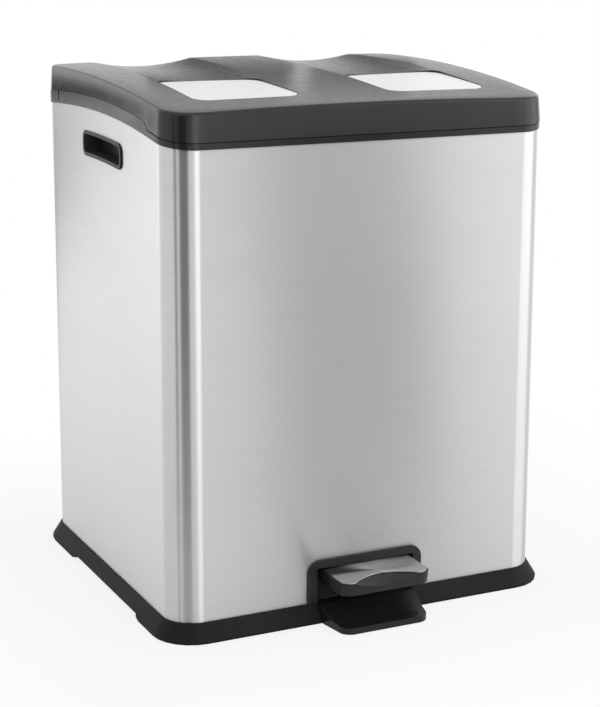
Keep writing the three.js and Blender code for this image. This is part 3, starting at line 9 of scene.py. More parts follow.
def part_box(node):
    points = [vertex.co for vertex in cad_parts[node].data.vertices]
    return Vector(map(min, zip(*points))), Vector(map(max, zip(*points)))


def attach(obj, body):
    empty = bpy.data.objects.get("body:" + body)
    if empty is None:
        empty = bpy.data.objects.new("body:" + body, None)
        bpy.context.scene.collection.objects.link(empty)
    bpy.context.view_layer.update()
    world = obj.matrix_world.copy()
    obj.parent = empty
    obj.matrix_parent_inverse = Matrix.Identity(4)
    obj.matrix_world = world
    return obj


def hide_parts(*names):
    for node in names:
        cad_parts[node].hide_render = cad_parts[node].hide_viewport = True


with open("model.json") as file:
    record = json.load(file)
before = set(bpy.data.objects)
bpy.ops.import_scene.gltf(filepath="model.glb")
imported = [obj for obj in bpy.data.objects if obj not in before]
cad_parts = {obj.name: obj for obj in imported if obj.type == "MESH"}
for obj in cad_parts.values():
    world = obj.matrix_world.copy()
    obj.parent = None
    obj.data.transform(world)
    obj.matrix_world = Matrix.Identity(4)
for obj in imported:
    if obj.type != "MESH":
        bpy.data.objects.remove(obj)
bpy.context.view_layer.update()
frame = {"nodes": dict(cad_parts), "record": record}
scene = bpy.context.scene
bpy.ops.object.select_all(action="DESELECT")

# ---------------------------------------------------------------- camera
# The bin is seen from its front left, a little above the lid, through a long lens. The frame is
# shifted a little to hold the whole bin, so its upright edges draw together only slightly.
FRAME_WIDE, FRAME_HIGH = 600, 707
SENSOR_MM = 36.0
FOCAL_PIXELS = 1808.2
AXIS_PIXEL = (309.8, 296.9)
EYE = Vector((-0.7479, -1.5711, 0.6428))
HEADING, DOWNWARD, ROLL = 0.4525, 0.2090, 0.0040
SIGHT_REACH = 60

bpy.ops.object.camera_add()
camera = bpy.context.object
camera.name = "camera"
camera.matrix_world = (
    Matrix.Translation(EYE)
    @ Matrix.Rotation(-HEADING, 4, "Z")
    @ Matrix.Rotation(math.pi / 2 - DOWNWARD, 4, "X")
    @ Matrix.Rotation(ROLL, 4, "Z")
)
camera.data.sensor_width = SENSOR_MM
camera.data.lens = FOCAL_PIXELS * SENSOR_MM / FRAME_HIGH
camera.data.shift_x = -(AXIS_PIXEL[0] - FRAME_WIDE / 2) / FRAME_HIGH
camera.data.shift_y = (AXIS_PIXEL[1] - FRAME_HIGH / 2) / FRAME_HIGH
camera.data.clip_end = SIGHT_REACH
scene.camera = camera
scene.view_settings.view_transform = "Standard"

# ---------------------------------------------------------------- studio
# A pale floor and a white room without corners, with tall soft boxes round the bin. Dark cards give
# the steel's round corner its stripes, its front a soft middle, and the lid's scoops their shade.
FLOOR_REACH = 30.0
FLOOR_PALE = 0.62
FLOOR_GLOW, FLOOR_FADE = (0.85, 1.0), 0.35
FLOOR_MIRRORED, MIRRORED_FADE = (0.45, 1.0), 0.7
FLOOR_HIDDEN = -0.02
ROOM_WHITE, ROOM_LIGHT = 1.0, 0.8
CARD_DARK = (0.03, 0.03, 0.03, 1)
STUDIO_AIM = Vector((0, 0, 0.25))
base_low, base_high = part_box("base_frame")


def math_node(tree, operation, *values):
    """A calculation on sockets and plain numbers."""
    node = tree.nodes.new("ShaderNodeMath")
    node.operation = operation
    for socket, value in zip(node.inputs, values):
        if isinstance(value, (int, float)):
            socket.default_value = value
        else:
            tree.links.new(value, socket)
    return node.outputs["Value"]


def rays_that_show(tree):
    """Two switches: what the camera sees straight, and what it sees mirrored or through glass."""
    rays = tree.nodes.new("ShaderNodeLightPath")
    return rays.outputs["Is Camera Ray"], math_node(
        tree, "MAXIMUM", rays.outputs["Is Glossy Ray"], rays.outputs["Is Transmission Ray"])


def even_rise(tree, value, reach, ends):
    """Rises evenly from one end to the other while the value goes from 0 to its reach."""
    node = tree.nodes.new("ShaderNodeMapRange")
    node.inputs["From Max"].default_value = reach
    node.inputs["To Min"].default_value, node.inputs["To Max"].default_value = ends
    tree.links.new(value, node.inputs["Value"])
    return node.outputs["Result"]


bpy.ops.mesh.primitive_plane_add(size=FLOOR_REACH)
floor = bpy.context.object
floor.name = "studio_floor"
floor_paint = bpy.data.materials.new("studio_floor_paint")
floor_paint.use_nodes = True
paint = floor_paint.node_tree
pale = paint.nodes["Principled BSDF"]
pale.inputs["Base Color"].default_value = (FLOOR_PALE, FLOOR_PALE, FLOOR_PALE, 1)
pale.inputs["Roughness"].default_value = 1.0
pale.inputs["Specular IOR Level"].default_value = 0.0
spot = paint.nodes.new("ShaderNodeSeparateXYZ")
paint.links.new(paint.nodes.new("ShaderNodeTexCoord").outputs["Object"], spot.inputs["Vector"])
beside = math_node(paint, "SUBTRACT", math_node(paint, "ABSOLUTE", spot.outputs["X"]), base_high.x)
from_middle = math_node(paint, "SUBTRACT", spot.outputs["Y"], (base_low.y + base_high.y) / 2)
before = math_node(paint, "SUBTRACT", math_node(paint, "ABSOLUTE", from_middle),
                   (base_high.y - base_low.y) / 2)
away = math_node(paint, "MAXIMUM", beside, before)
seen, mirrored = rays_that_show(paint)
glow = math_node(paint, "MULTIPLY", seen, even_rise(paint, away, FLOOR_FADE, FLOOR_GLOW))
shine = math_node(paint, "MULTIPLY", mirrored,
                  even_rise(paint, away, MIRRORED_FADE, FLOOR_MIRRORED))
share = math_node(paint, "MULTIPLY", math_node(paint, "MAXIMUM", glow, shine),
                  math_node(paint, "GREATER_THAN", away, FLOOR_HIDDEN))
floor_mix = paint.nodes.new("ShaderNodeMixShader")
paint.links.new(share, floor_mix.inputs["Fac"])
paint.links.new(pale.outputs["BSDF"], floor_mix.inputs[1])
paint.links.new(paint.nodes.new("ShaderNodeEmission").outputs["Emission"], floor_mix.inputs[2])
paint.links.new(floor_mix.outputs["Shader"], paint.nodes["Material Output"].inputs["Surface"])
floor.data.materials.append(floor_paint)

room = bpy.data.worlds.new("studio_room")
scene.world = room
room.use_nodes = True
sky = room.node_tree
level = math_node(sky, "MULTIPLY_ADD", math_node(sky, "MAXIMUM", *rays_that_show(sky)),
                  ROOM_WHITE - ROOM_LIGHT, ROOM_LIGHT)
sky.links.new(level, sky.nodes["Background"].inputs["Strength"])
sky.nodes["Background"].inputs["Color"].default_value = (1, 1, 1, 1)

card_paint = bpy.data.materials.new("dark_card_paint")
card_paint.use_nodes = True
card_paint.node_tree.nodes["Principled BSDF"].inputs["Base Color"].default_value = CARD_DARK


def soft_box(name, turn_degrees, distance, height, wide, high, brightness):
    """A soft box that faces the bin. A turn of 0 is straight in front of it, 90 to its right."""
    turn = math.radians(turn_degrees)
    place = Vector((distance * math.sin(turn), -distance * math.cos(turn), height))
    bpy.ops.object.light_add(type="AREA", location=place)
    lamp = bpy.context.object
    lamp.name = name
    lamp.data.shape = "RECTANGLE"
    lamp.data.size = wide
    lamp.data.size_y = high
    lamp.data.energy = brightness * math.pi * wide * high
    lamp.visible_camera = False
    lamp.rotation_mode = "QUATERNION"
    lamp.rotation_quaternion = (place - STUDIO_AIM).to_track_quat("Z", "Y")


def dark_card(name, place, turn_degrees, wide, high):
    """A dark board on edge, seen only as a mirror image in the steel and the lid."""
    bpy.ops.mesh.primitive_plane_add(size=1)
    card = bpy.context.object
    card.name = name
    card.matrix_world = (Matrix.Translation(place)
                         @ Matrix.Rotation(math.radians(turn_degrees), 4, "Z")
                         @ Matrix.Rotation(math.pi / 2, 4, "X")
                         @ Matrix.Diagonal((wide, high, 1, 1)))
    card.data.materials.append(card_paint)
    card.visible_camera = False
    card.visible_shadow = False
    card.visible_diffuse = False


soft_box("soft_box_front", turn_degrees=6, distance=2.6, height=1.2,
         wide=0.8, high=2.4, brightness=1.8)
soft_box("soft_box_right", turn_degrees=60, distance=2.8, height=1.2,
         wide=2.7, high=2.4, brightness=1.5)
soft_box("soft_box_back_left", turn_degrees=-150, distance=3.0, height=1.2,
         wide=1.4, high=2.4, brightness=0.9)
soft_box("soft_box_back_right", turn_degrees=128, distance=3.0, height=0.9,
         wide=1.0, high=1.4, brightness=0.8)

dark_card("dark_card_corner", place=(-0.485, -0.545, 0.42), turn_degrees=-37, wide=0.3, high=0.9)
dark_card("dark_card_edge", place=(-0.655, -0.325, 0.42), turn_degrees=-69, wide=0.075, high=0.9)
dark_card("dark_card_front", place=(0.345, -0.86, 0.2), turn_degrees=25, wide=0.22, high=0.42)
dark_card("dark_card_scoop_left", place=(0.195, 0.63, 0.63), turn_degrees=158,
          wide=0.19, high=0.11)
dark_card("dark_card_scoop_right", place=(0.395, 0.61, 0.63), turn_degrees=153,
          wide=0.14, high=0.1)
dark_card("dark_card_side", place=(-0.43, 0.8, 0.435), turn_degrees=199, wide=0.27, high=0.08)
dark_card("dark_card_side_back", place=(-0.36, 0.8, 0.28), turn_degrees=199, wide=0.1, high=0.2)

# ---------------------------------------------------------------- steel body
# One sheet of brushed stainless steel, wrapped round four corners and closed at the back. Its top
# edge is cut to a shallow arc and stands in the collar, its foot in a groove of the base. Slots for
# the carry handles and a doorway for the pedal are cut out of it.
MM = 0.001
X, Y, Z = range(3)
NEAR = 1e-5
ROW_DIGITS, ROW_NEAR = 6, 1e-6
SQUARE_ON = 0.9
SMOOTH_DEGREES = 35
NOISE_LOW, NOISE_HIGH = 0.3, 0.7
SHEET = 0.8 * MM
BODY_CORNER, BODY_CORNER_STEPS = 29 * MM, 16
BODY_SMOOTH_DEGREES = 30
RIM_FRONT, RIM_PEAK, RIM_BACK = 445 * MM, 462.3 * MM, 456 * MM
RIM_PEAK_FROM_BACK = 145.5 * MM
RIM_TUCK = 4 * MM
WALL_STEP = 14 * MM
STEEL_DARK, STEEL_LIGHT = (0.635, 0.635, 0.64), (0.675, 0.675, 0.68)
STEEL_LINES, STEEL_PATCHES = (12, 12, 1400), (4, 4, 14)
STEEL_ROUGHNESS = (0.34, 0.38)
QUARTER_TURN = 0.25

steel_low, steel_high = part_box("steel_body")
body_of = {
    node: body for body, nodes in frame["record"]["behaviour"]["bodies"].items() for node in nodes
}


def leave_edit_mode():
    if bpy.context.mode != "OBJECT":
        bpy.ops.object.mode_set(mode="OBJECT")


def select_only(*pieces):
    """Selects these pieces and nothing else. The last one is the active one."""
    bpy.ops.object.select_all(action="DESELECT")
    for piece in pieces:
        piece.select_set(True)
    bpy.context.view_layer.objects.active = pieces[-1]


def add_block(name, low, high):
    """A block between two corners, left in edit mode with all of it selected."""
    leave_edit_mode()
    bpy.ops.object.select_all(action="DESELECT")
    bpy.ops.mesh.primitive_cube_add(size=1)
    made = bpy.context.object
    made.name = name
    low, high = Vector(low), Vector(high)
    bpy.ops.object.mode_set(mode="EDIT")
    bpy.ops.transform.resize(value=high - low)
    bpy.ops.transform.translate(value=(low + high) / 2)
    return made


def pick(kind, test):
    """Selects the vertices, edges or faces that pass a test, and nothing else."""
    bpy.ops.mesh.select_mode(type=kind)
    bpy.ops.mesh.select_all(action="DESELECT")
    mesh = bmesh.from_edit_mesh(bpy.context.object.data)
    for part in {"VERT": mesh.verts, "EDGE": mesh.edges, "FACE": mesh.faces}[kind]:
        if test(part):
            part.select_set(True)
    bmesh.update_edit_mesh(bpy.context.object.data)


def runs_along(axis):
    """A test for edges that run straight along one axis."""
    others = [other for other in (X, Y, Z) if other != axis]
    return lambda edge: all(
        abs(edge.verts[0].co[other] - edge.verts[1].co[other]) < NEAR for other in others
    )


def round_edges(test, radius, steps):
    """Rounds the edges that pass a test."""
    pick("EDGE", test)
    bpy.ops.mesh.bevel(offset=radius, segments=steps, affect="EDGES")


def score(axis, places):
    """Cuts a line right round the piece at each place along an axis."""
    for place in places:
        at = Vector((0, 0, 0))
        at[axis] = place
        facing = Vector((0, 0, 0))
        facing[axis] = 1
        bpy.ops.mesh.select_all(action="SELECT")
        bpy.ops.mesh.bisect(plane_co=at, plane_no=facing)


def even_steps(start, end, step):
    """Places from start to end, both left out, at about a step from each other."""
    count = max(1, round((end - start) / step))
    return [start + (end - start) * number / count for number in range(1, count)]


def draw_rows(axis, test, toward, amount):
    """Moves the vertices that pass a test, row by row, by an amount that follows their place."""
    mesh = bmesh.from_edit_mesh(bpy.context.object.data)
    rows = {round(vertex.co[axis], ROW_DIGITS) for vertex in mesh.verts if test(vertex)}
    for place in sorted(rows):
        pick("VERT", lambda vertex: abs(vertex.co[axis] - place) < ROW_NEAR and test(vertex))
        bpy.ops.transform.translate(value=Vector(toward) * amount(place))


def use(made, kind, **settings):
    """Adds a modifier and applies it."""
    leave_edit_mode()
    bpy.context.view_layer.objects.active = made
    modifier = made.modifiers.new(kind.lower(), kind)
    for setting, value in settings.items():
        setattr(modifier, setting, value)
    bpy.ops.object.modifier_apply(modifier=modifier.name)


def cut_away(made, cutter, operation="DIFFERENCE"):
    """Cuts one piece by another, which is used up."""
    use(made, "BOOLEAN", object=cutter, operation=operation, solver="EXACT")
    bpy.data.objects.remove(cutter)


def put_in_place(made, node, finish, smooth_degrees=SMOOTH_DEGREES, flat_sided=True):
    """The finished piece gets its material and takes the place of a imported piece."""
    leave_edit_mode()
    made.data.materials.clear()
    made.data.materials.append(finish)
    select_only(made)
    bpy.ops.object.shade_smooth_by_angle(angle=math.radians(smooth_degrees))
    if flat_sided:
        use(made, "WEIGHTED_NORMAL", keep_sharp=True)
    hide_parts(node)
    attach(made, body_of[node])


def new_finish(name):
    """A node material and its shader."""
    finish = bpy.data.materials.new(name)
    finish.use_nodes = True
    return finish, finish.node_tree, finish.node_tree.nodes["Principled BSDF"]


def grain(tree, stretch, detail=3.0):
    """Noise in object coordinates, with a frequency per axis."""
    place = tree.nodes.new("ShaderNodeTexCoord")
    mapping = tree.nodes.new("ShaderNodeMapping")
    mapping.inputs["Scale"].default_value = stretch
    texture = tree.nodes.new("ShaderNodeTexNoise")
    texture.inputs["Scale"].default_value = 1.0
    texture.inputs["Detail"].default_value = detail
    tree.links.new(place.outputs["Object"], mapping.inputs["Vector"])
    tree.links.new(mapping.outputs["Vector"], texture.inputs["Vector"])
    return texture.outputs["Fac"]


def spread(tree, value, low, high):
    """Noise, which keeps to its middle, spread from low to high."""
    node = tree.nodes.new("ShaderNodeMapRange")
    for name, number in (("From Min", NOISE_LOW), ("From Max", NOISE_HIGH),
                         ("To Min", low), ("To Max", high)):
        node.inputs[name].default_value = number
    tree.links.new(value, node.inputs["Value"])
    return node.outputs["Result"]


def tint(tree, shader, value, dark, light):
    """Colours the shader between a dark and a light tone."""
    node = tree.nodes.new("ShaderNodeMix")
    node.data_type = "RGBA"
    node.inputs["A"].default_value = (*dark, 1)
    node.inputs["B"].default_value = (*light, 1)
    tree.links.new(spread(tree, value, 0, 1), node.inputs["Factor"])
    tree.links.new(node.outputs["Result"], shader.inputs["Base Color"])


def emboss(tree, shader, height, strength, depth):
    """Raises the surface a little where the height is high."""
    node = tree.nodes.new("ShaderNodeBump")
    node.inputs["Strength"].default_value = strength
    node.inputs["Distance"].default_value = depth
    tree.links.new(height, node.inputs["Height"])
    tree.links.new(node.outputs["Normal"], shader.inputs["Normal"])


def brushed_steel(name, stretch, dark, light, roughness):
    """Satin stainless sheet, with brush lines of its own stretch and duller and shinier patches."""
    finish, tree, shader = new_finish(name)
    lines = grain(tree, stretch, detail=4.0)
    tint(tree, shader, lines, dark, light)
    patches = grain(tree, STEEL_PATCHES, detail=2.0)
    tree.links.new(spread(tree, patches, *roughness), shader.inputs["Roughness"])
    shader.inputs["Metallic"].default_value = 1.0
    shader.inputs["Anisotropic"].default_value = 1.0
    shader.inputs["Anisotropic Rotation"].default_value = QUARTER_TURN
    around = tree.nodes.new("ShaderNodeTangent")
    around.direction_type = "RADIAL"
    around.axis = "Z"
    tree.links.new(around.outputs["Tangent"], shader.inputs["Tangent"])
    emboss(tree, shader, lines, strength=0.1, depth=0.1 * MM)
    return finish


def rim_height(y):
    """The arc of the steel's visible top edge."""
    peak_y = steel_high.y - RIM_PEAK_FROM_BACK
    if y < peak_y:
        end, reach = RIM_FRONT, peak_y - steel_low.y
    else:
        end, reach = RIM_BACK, RIM_PEAK_FROM_BACK
    return RIM_PEAK - (RIM_PEAK - end) * ((y - peak_y) / reach) ** 2


steel = add_block("steel_sheet", steel_low, steel_high)
pick("FACE", lambda face: abs(face.normal.z) > SQUARE_ON)
bpy.ops.mesh.delete(type="ONLY_FACE")
round_edges(runs_along(Z), BODY_CORNER, BODY_CORNER_STEPS)
score(Y, even_steps(steel_low.y + BODY_CORNER, steel_high.y - BODY_CORNER, WALL_STEP))
draw_rows(Y, lambda vertex: vertex.co.z > steel_high.z - NEAR, (0, 0, 1),
          lambda y: rim_height(y) + RIM_TUCK - steel_high.z)
use(steel, "SOLIDIFY", thickness=SHEET, offset=-1)

HANDLE_CORNER, HANDLE_CORNER_STEPS = 8 * MM, 6
HANDLE_RIM = 2.4 * MM
HANDLE_DROP, HANDLE_HEIGHT = 21 * MM, 24.5 * MM
SLOT_CLEARANCE = 0.3 * MM
handle_low, handle_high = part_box("carry_handle_left")
handle_middle = (handle_low.y + handle_high.y) / 2


def handle_blank(name, x_low, x_high, shrink):
    """The carry handle's outline, arched like the rim, between two depths."""
    top = rim_height(handle_middle) - HANDLE_DROP - shrink
    blank = add_block(name, (x_low, handle_low.y + shrink, top - HANDLE_HEIGHT + 2 * shrink),
                      (x_high, handle_high.y - shrink, top))
    round_edges(runs_along(X), HANDLE_CORNER - shrink, HANDLE_CORNER_STEPS)
    score(Y, even_steps(handle_low.y + HANDLE_CORNER, handle_high.y - HANDLE_CORNER, WALL_STEP))
    draw_rows(Y, lambda vertex: True, (0, 0, 1),
              lambda y: rim_height(y) - rim_height(handle_middle))
    return blank


cut_away(steel, handle_blank("slot_cutter", 2 * steel_low.x, 2 * steel_high.x,
                             HANDLE_RIM - SLOT_CLEARANCE))
DOORWAY_HALF, DOORWAY_TOP = 52.3 * MM, 53.5 * MM
cut_away(steel, add_block("doorway_cutter", (-DOORWAY_HALF, steel_low.y - SHEET, 0),
                          (DOORWAY_HALF, steel_low.y + 2 * SHEET, DOORWAY_TOP)))
satin_steel = brushed_steel("satin_brushed_steel", STEEL_LINES, STEEL_DARK, STEEL_LIGHT,
                            STEEL_ROUGHNESS)
put_in_place(steel, "steel_body", satin_steel, BODY_SMOOTH_DEGREES)

# ---------------------------------------------------------------- carry handles
# A black moulded cup is pushed through a slot high on each side. A thin rounded rim covers the
# slot's edge, and the cup behind it takes four fingers.
HANDLE_WALL = 1.2 * MM
RIM_OFF_SHEET = 0.3 * MM
TONE_DRIFT = (12, 12, 12)
PATCH_SIZE, GRAIN_SIZE = 9 * MM, 0.7 * MM
# The cup's black is painted lighter than the other black plastic: a painted reflection that stands
# in for the light seen inside its hollow.
CUP_DARK, CUP_LIGHT = (0.034, 0.034, 0.0345), (0.044, 0.044, 0.045)


def moulded_plastic(name, dark, light, roughness, gloss=0.3, patchy=0.02, depth=0.05 * MM):
    """Moulded plastic: a fine even grain, duller and shinier patches, and a faint drift of tone."""
    finish, tree, shader = new_finish(name)
    tint(tree, shader, grain(tree, TONE_DRIFT), dark, light)
    patches = grain(tree, (1 / PATCH_SIZE,) * 3, detail=4.0)
    tree.links.new(spread(tree, patches, roughness - patchy, roughness + patchy),
                   shader.inputs["Roughness"])
    fine = grain(tree, (1 / GRAIN_SIZE,) * 3, detail=2.0)
    shader.inputs["Specular IOR Level"].default_value = gloss
    emboss(tree, shader, fine, strength=0.4, depth=depth)
    return finish


def soften(made, width, steps, over_degrees):
    """Rounds every edge of a finished piece that turns by more than an angle."""
    use(made, "BEVEL", width=width, segments=steps, limit_method="ANGLE",
        angle_limit=math.radians(over_degrees))


rim_out, cup_back = handle_low.x, handle_high.x
rim_back = steel_low.x - RIM_OFF_SHEET
handle = handle_blank("carry_cup_left", rim_out, rim_back, 0)
pick("FACE", lambda face: face.normal.x < -SQUARE_ON)
bpy.ops.mesh.inset(thickness=HANDLE_RIM + HANDLE_WALL)
bpy.ops.mesh.extrude_region_move(
    TRANSFORM_OT_translate={"value": (cup_back - HANDLE_WALL - rim_out, 0, 0)})
pick("FACE", lambda face: face.normal.x > SQUARE_ON
     and abs(face.calc_center_median().x - rim_back) < NEAR)
bpy.ops.mesh.inset(thickness=HANDLE_RIM)
bpy.ops.mesh.extrude_region_move(TRANSFORM_OT_translate={"value": (cup_back - rim_back, 0, 0)})
soften(handle, width=0.5 * MM, steps=3, over_degrees=50)

handle_right = handle.copy()
handle_right.data = handle.data.copy()
handle_right.name = "carry_cup_right"
scene.collection.objects.link(handle_right)
handle_right.data.transform(Matrix.Diagonal((-1, 1, 1, 1)))
handle_right.data.flip_normals()
# A lighter black, painted to stand in for the light reflected inside the cups.
cup_plastic_painted_reflection = moulded_plastic("cup_plastic_painted_reflection", CUP_DARK, CUP_LIGHT, roughness=0.4, gloss=0.2)
put_in_place(handle, "carry_handle_left", cup_plastic_painted_reflection)
put_in_place(handle_right, "carry_handle_right", cup_plastic_painted_reflection)

# ---------------------------------------------------------------- base and collar
# The base is one dull charcoal moulding with a flared skirt round the sheet's foot, on four rubber
# pads. The collar, of the lid's plastic, is pressed on the sheet's top edge and carries the lid's
# hinge ears.
CHARCOAL_DARK, CHARCOAL_LIGHT = (0.011, 0.011, 0.0115), (0.016, 0.016, 0.0165)
RUBBER_DARK, RUBBER_LIGHT = (0.016, 0.016, 0.016), (0.024, 0.024, 0.024)
ONE_FACE_DEGREES = 0.5
DRESSED_STEPS, DRESSED_OVER_DEGREES = 2, 40


def dress(node, finish, edge_round=0.5 * MM, smooth_degrees=SMOOTH_DEGREES):
    """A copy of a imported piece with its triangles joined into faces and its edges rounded."""
    made = bpy.data.objects.new(f"{node}_piece", frame["nodes"][node].data.copy())
    scene.collection.objects.link(made)
    select_only(made)
    bpy.ops.object.mode_set(mode="EDIT")
    bpy.ops.mesh.select_all(action="SELECT")
    bpy.ops.mesh.remove_doubles(threshold=NEAR / 10)
    bpy.ops.mesh.dissolve_limited(angle_limit=math.radians(ONE_FACE_DEGREES))
    if edge_round:
        soften(made, edge_round, DRESSED_STEPS, DRESSED_OVER_DEGREES)
    put_in_place(made, node, finish, smooth_degrees)


charcoal = moulded_plastic("charcoal_plastic", CHARCOAL_DARK, CHARCOAL_LIGHT,
                           roughness=0.23, gloss=0.4, patchy=0.03)
base_charcoal = moulded_plastic("base_charcoal_plastic", CHARCOAL_DARK, CHARCOAL_LIGHT,
                                roughness=0.55, gloss=0.1)
rubber = moulded_plastic("black_rubber", RUBBER_DARK, RUBBER_LIGHT, roughness=0.75)
dress("base_frame", base_charcoal, edge_round=0.7 * MM)
dress("top_collar", charcoal, edge_round=0.15 * MM)
for corner in ("front_left", "front_right", "back_left", "back_right"):
    dress(f"foot_pad_{corner}", rubber, edge_round=0.4 * MM)

# ---------------------------------------------------------------- lid
# One charcoal moulding, crowned front to back. Two shallow scoops run down to the label plates,
# with a rib between them. Its edge is rounded, and its foot follows the collar's top, a fine gap
# above it.
LID_OUTSET, LID_BACK_INSET = 0.9 * MM, 1.1 * MM
LID_CORNER, LID_CORNER_STEPS = 28 * MM, 12
LID_EDGE_ROUND, LID_EDGE_STEPS = 3 * MM, 4
LID_WALL = 4 * MM
LID_DRAFT, LID_DRAFT_HEIGHT = 1.4 * MM, 26 * MM
LID_BLANK_HEIGHT = 45 * MM
LID_SIDE = (477 * MM, 493.7 * MM, 494.5 * MM)
LID_CENTRE = (479.6 * MM, 492.5 * MM, 496.8 * MM)
LID_EDGE_DROP = 1 * MM
LID_OUTER_LINE = 170 * MM
LID_BACK_ROUND = 14 * MM
LID_BACK_ROWS = (0, 0.25, 0.45, 0.62, 0.76, 0.87, 0.95)
LID_BACK_EDGE = 471.6 * MM
LID_ROW_START, LID_ROW_STEP = 6 * MM, 10 * MM
LID_SMOOTH_DEGREES = 32
BAND_FRONT, BAND_SIDE = 6.4 * MM, 12.35 * MM
BAND_STEP = (46.5 * MM, 57.5 * MM)
BAND_ROWS = 6
COLLAR_STEP_FROM_BACK, COLLAR_STEP_HALF = 13.5 * MM, 0.1 * MM
RIB_BACK, RIB_FRONT = 38.5 * MM, 44.2 * MM
SCOOP_OUTER_BACK, SCOOP_OUTER_FRONT = 145.4 * MM, 150.3 * MM
SCOOP_FROM_FRONT, SCOOP_FROM_BACK = 40.5 * MM, 15.5 * MM
SCOOP_DEPTH = 6.5 * MM
SCOOP_RUN_OUT = 1.1
SCOOP_COLUMNS = 10
CREASE_HALF, CREASE_NEAR = 2.2 * MM, 1.2 * MM
CREASE_ABOVE_SEAM = 8 * MM

lid_front, lid_back = steel_low.y - LID_OUTSET, steel_high.y - LID_BACK_INSET
lid_half = steel_high.x + LID_OUTSET
body_middle = (steel_low.y + steel_high.y) / 2
half_depth = (steel_high.y - steel_low.y) / 2
scoop_front, scoop_back = steel_low.y + SCOOP_FROM_FRONT, steel_high.y - SCOOP_FROM_BACK
collar_step = steel_high.y - COLLAR_STEP_FROM_BACK
blank_top, blank_foot = RIM_FRONT + LID_BLANK_HEIGHT, RIM_FRONT


def lies_at(axis, place):
    """A test for edges that lie at one place along an axis."""
    return lambda edge: all(abs(end.co[axis] - place) < NEAR for end in edge.verts)


def crown(heights, y):
    """A smooth arc through a front, a middle and a back height."""
    front, middle, back = heights
    t = (y - body_middle) / half_depth
    return middle + t * (back - front) / 2 + t * t * ((back + front) / 2 - middle)


def crease(y, share):
    """How far out a line lies: 0 is the rib's edge, and 1 is the scoop's outer edge."""
    t = (scoop_back - y) / (scoop_back - scoop_front)
    inner = RIB_BACK + (RIB_FRONT - RIB_BACK) * t
    return inner + (SCOOP_OUTER_BACK + (SCOOP_OUTER_FRONT - SCOOP_OUTER_BACK) * t - inner) * share


def lid_crown(x, y):
    """The lid's outer surface without its scoops."""
    side, centre, outer = crown(LID_SIDE, y), crown(LID_CENTRE, y), crease(y, 1)
    beyond = max(0, abs(x) - outer) / (steel_high.x - outer)
    return centre + (side - centre) * min(1, abs(x) / outer) ** 2 - LID_EDGE_DROP * beyond ** 2


def lid_top(x, y):
    """The lid's outer surface, with its scoops and its rounded back."""
    middle = (crease(y, 0) + crease(y, 1)) / 2
    across = min(1, abs(abs(x) - middle) / (crease(y, 1) - middle))
    along = min(SCOOP_RUN_OUT, max(0, (y - scoop_front) / (scoop_back - scoop_front)))
    scoop = SCOOP_DEPTH * along * (1 - across * across)
    over = min(LID_BACK_ROUND, max(0, y - lid_back + LID_BACK_ROUND))
    drop = LID_BACK_ROUND - math.sqrt(LID_BACK_ROUND ** 2 - over ** 2)
    return lid_crown(x, y) - scoop - drop


def seam_height(y):
    """Where the lid meets the collar: the seam steps down near the front corners."""
    if y > collar_step:
        return LID_BACK_EDGE
    t = (y - steel_low.y - BAND_STEP[0]) / (BAND_STEP[1] - BAND_STEP[0])
    t = min(1, max(0, t))
    return rim_height(y) + BAND_FRONT + (BAND_SIDE - BAND_FRONT) * t * t * (3 - 2 * t)


def score_crease(share, shift=0.0):
    """Cuts a line on each side of the lid that follows the edges of the scoops."""
    for side in (-1, 1):
        front = Vector((side * (crease(scoop_front, share) + shift), scoop_front, 0))
        back = Vector((side * (crease(scoop_back, share) + shift), scoop_back, 0))
        bpy.ops.mesh.select_all(action="SELECT")
        bpy.ops.mesh.bisect(plane_co=front, plane_no=(back - front).cross((0, 0, 1)))


def press_lid():
    """Presses the flat blank to the lid's surface and the seam, and leans its walls in."""
    mesh = bmesh.from_edit_mesh(bpy.context.object.data)
    for vertex in mesh.verts:
        x, y, z = vertex.co
        if z > blank_foot + NEAR:
            turned = min(1, max(0, (y - lid_back + LID_BACK_ROUND) / (LID_BACK_ROUND / 2)))
            vertex.co.z = lid_top(x, y) + (z - blank_top) * (1 - turned)
        else:
            vertex.co.z = seam_height(y)
        lean = LID_DRAFT * (vertex.co.z - seam_height(y)) / LID_DRAFT_HEIGHT
        vertex.co.x *= 1 - lean / lid_half
        vertex.co.y = body_middle + (y - body_middle) * (1 - lean / half_depth)
    bmesh.update_edit_mesh(bpy.context.object.data)


lid = add_block("lid_moulding", (-lid_half, lid_front, blank_foot), (lid_half, lid_back, blank_top))
round_edges(runs_along(Z), LID_CORNER, LID_CORNER_STEPS)
pick("FACE", lambda face: face.normal.z < -SQUARE_ON)
bpy.ops.mesh.delete(type="FACE")
round_edges(lies_at(Z, blank_top), LID_EDGE_ROUND, LID_EDGE_STEPS)
score(X, (0, RIB_BACK / 2, -RIB_BACK / 2, LID_OUTER_LINE, -LID_OUTER_LINE))
for column in range(1, SCOOP_COLUMNS):
    score_crease(column / SCOOP_COLUMNS)
for edge_share in (0, 1):
    for shift in (-CREASE_HALF, 0, CREASE_HALF):
        score_crease(edge_share, shift)
score(Y, even_steps(lid_front + LID_ROW_START, lid_back - LID_BACK_ROUND, LID_ROW_STEP))
band_row = (BAND_STEP[1] - BAND_STEP[0]) / (BAND_ROWS - 1)
score(Y, [steel_low.y + BAND_STEP[0] + row * band_row for row in range(BAND_ROWS)])
score(Y, [lid_back - LID_BACK_ROUND * (1 - row) for row in LID_BACK_ROWS])
score(Y, (collar_step - COLLAR_STEP_HALF, collar_step + COLLAR_STEP_HALF))
press_lid()
for edge_share in (0, 1):
    pick("VERT", lambda vertex: vertex.co.z > seam_height(vertex.co.y) + CREASE_ABOVE_SEAM
         and vertex.co.y > scoop_front
         and abs(abs(vertex.co.x) - crease(vertex.co.y, edge_share)) < CREASE_NEAR)
    bpy.ops.mesh.vertices_smooth(factor=0.5, repeat=1)
use(lid, "SOLIDIFY", thickness=LID_WALL, offset=-1)

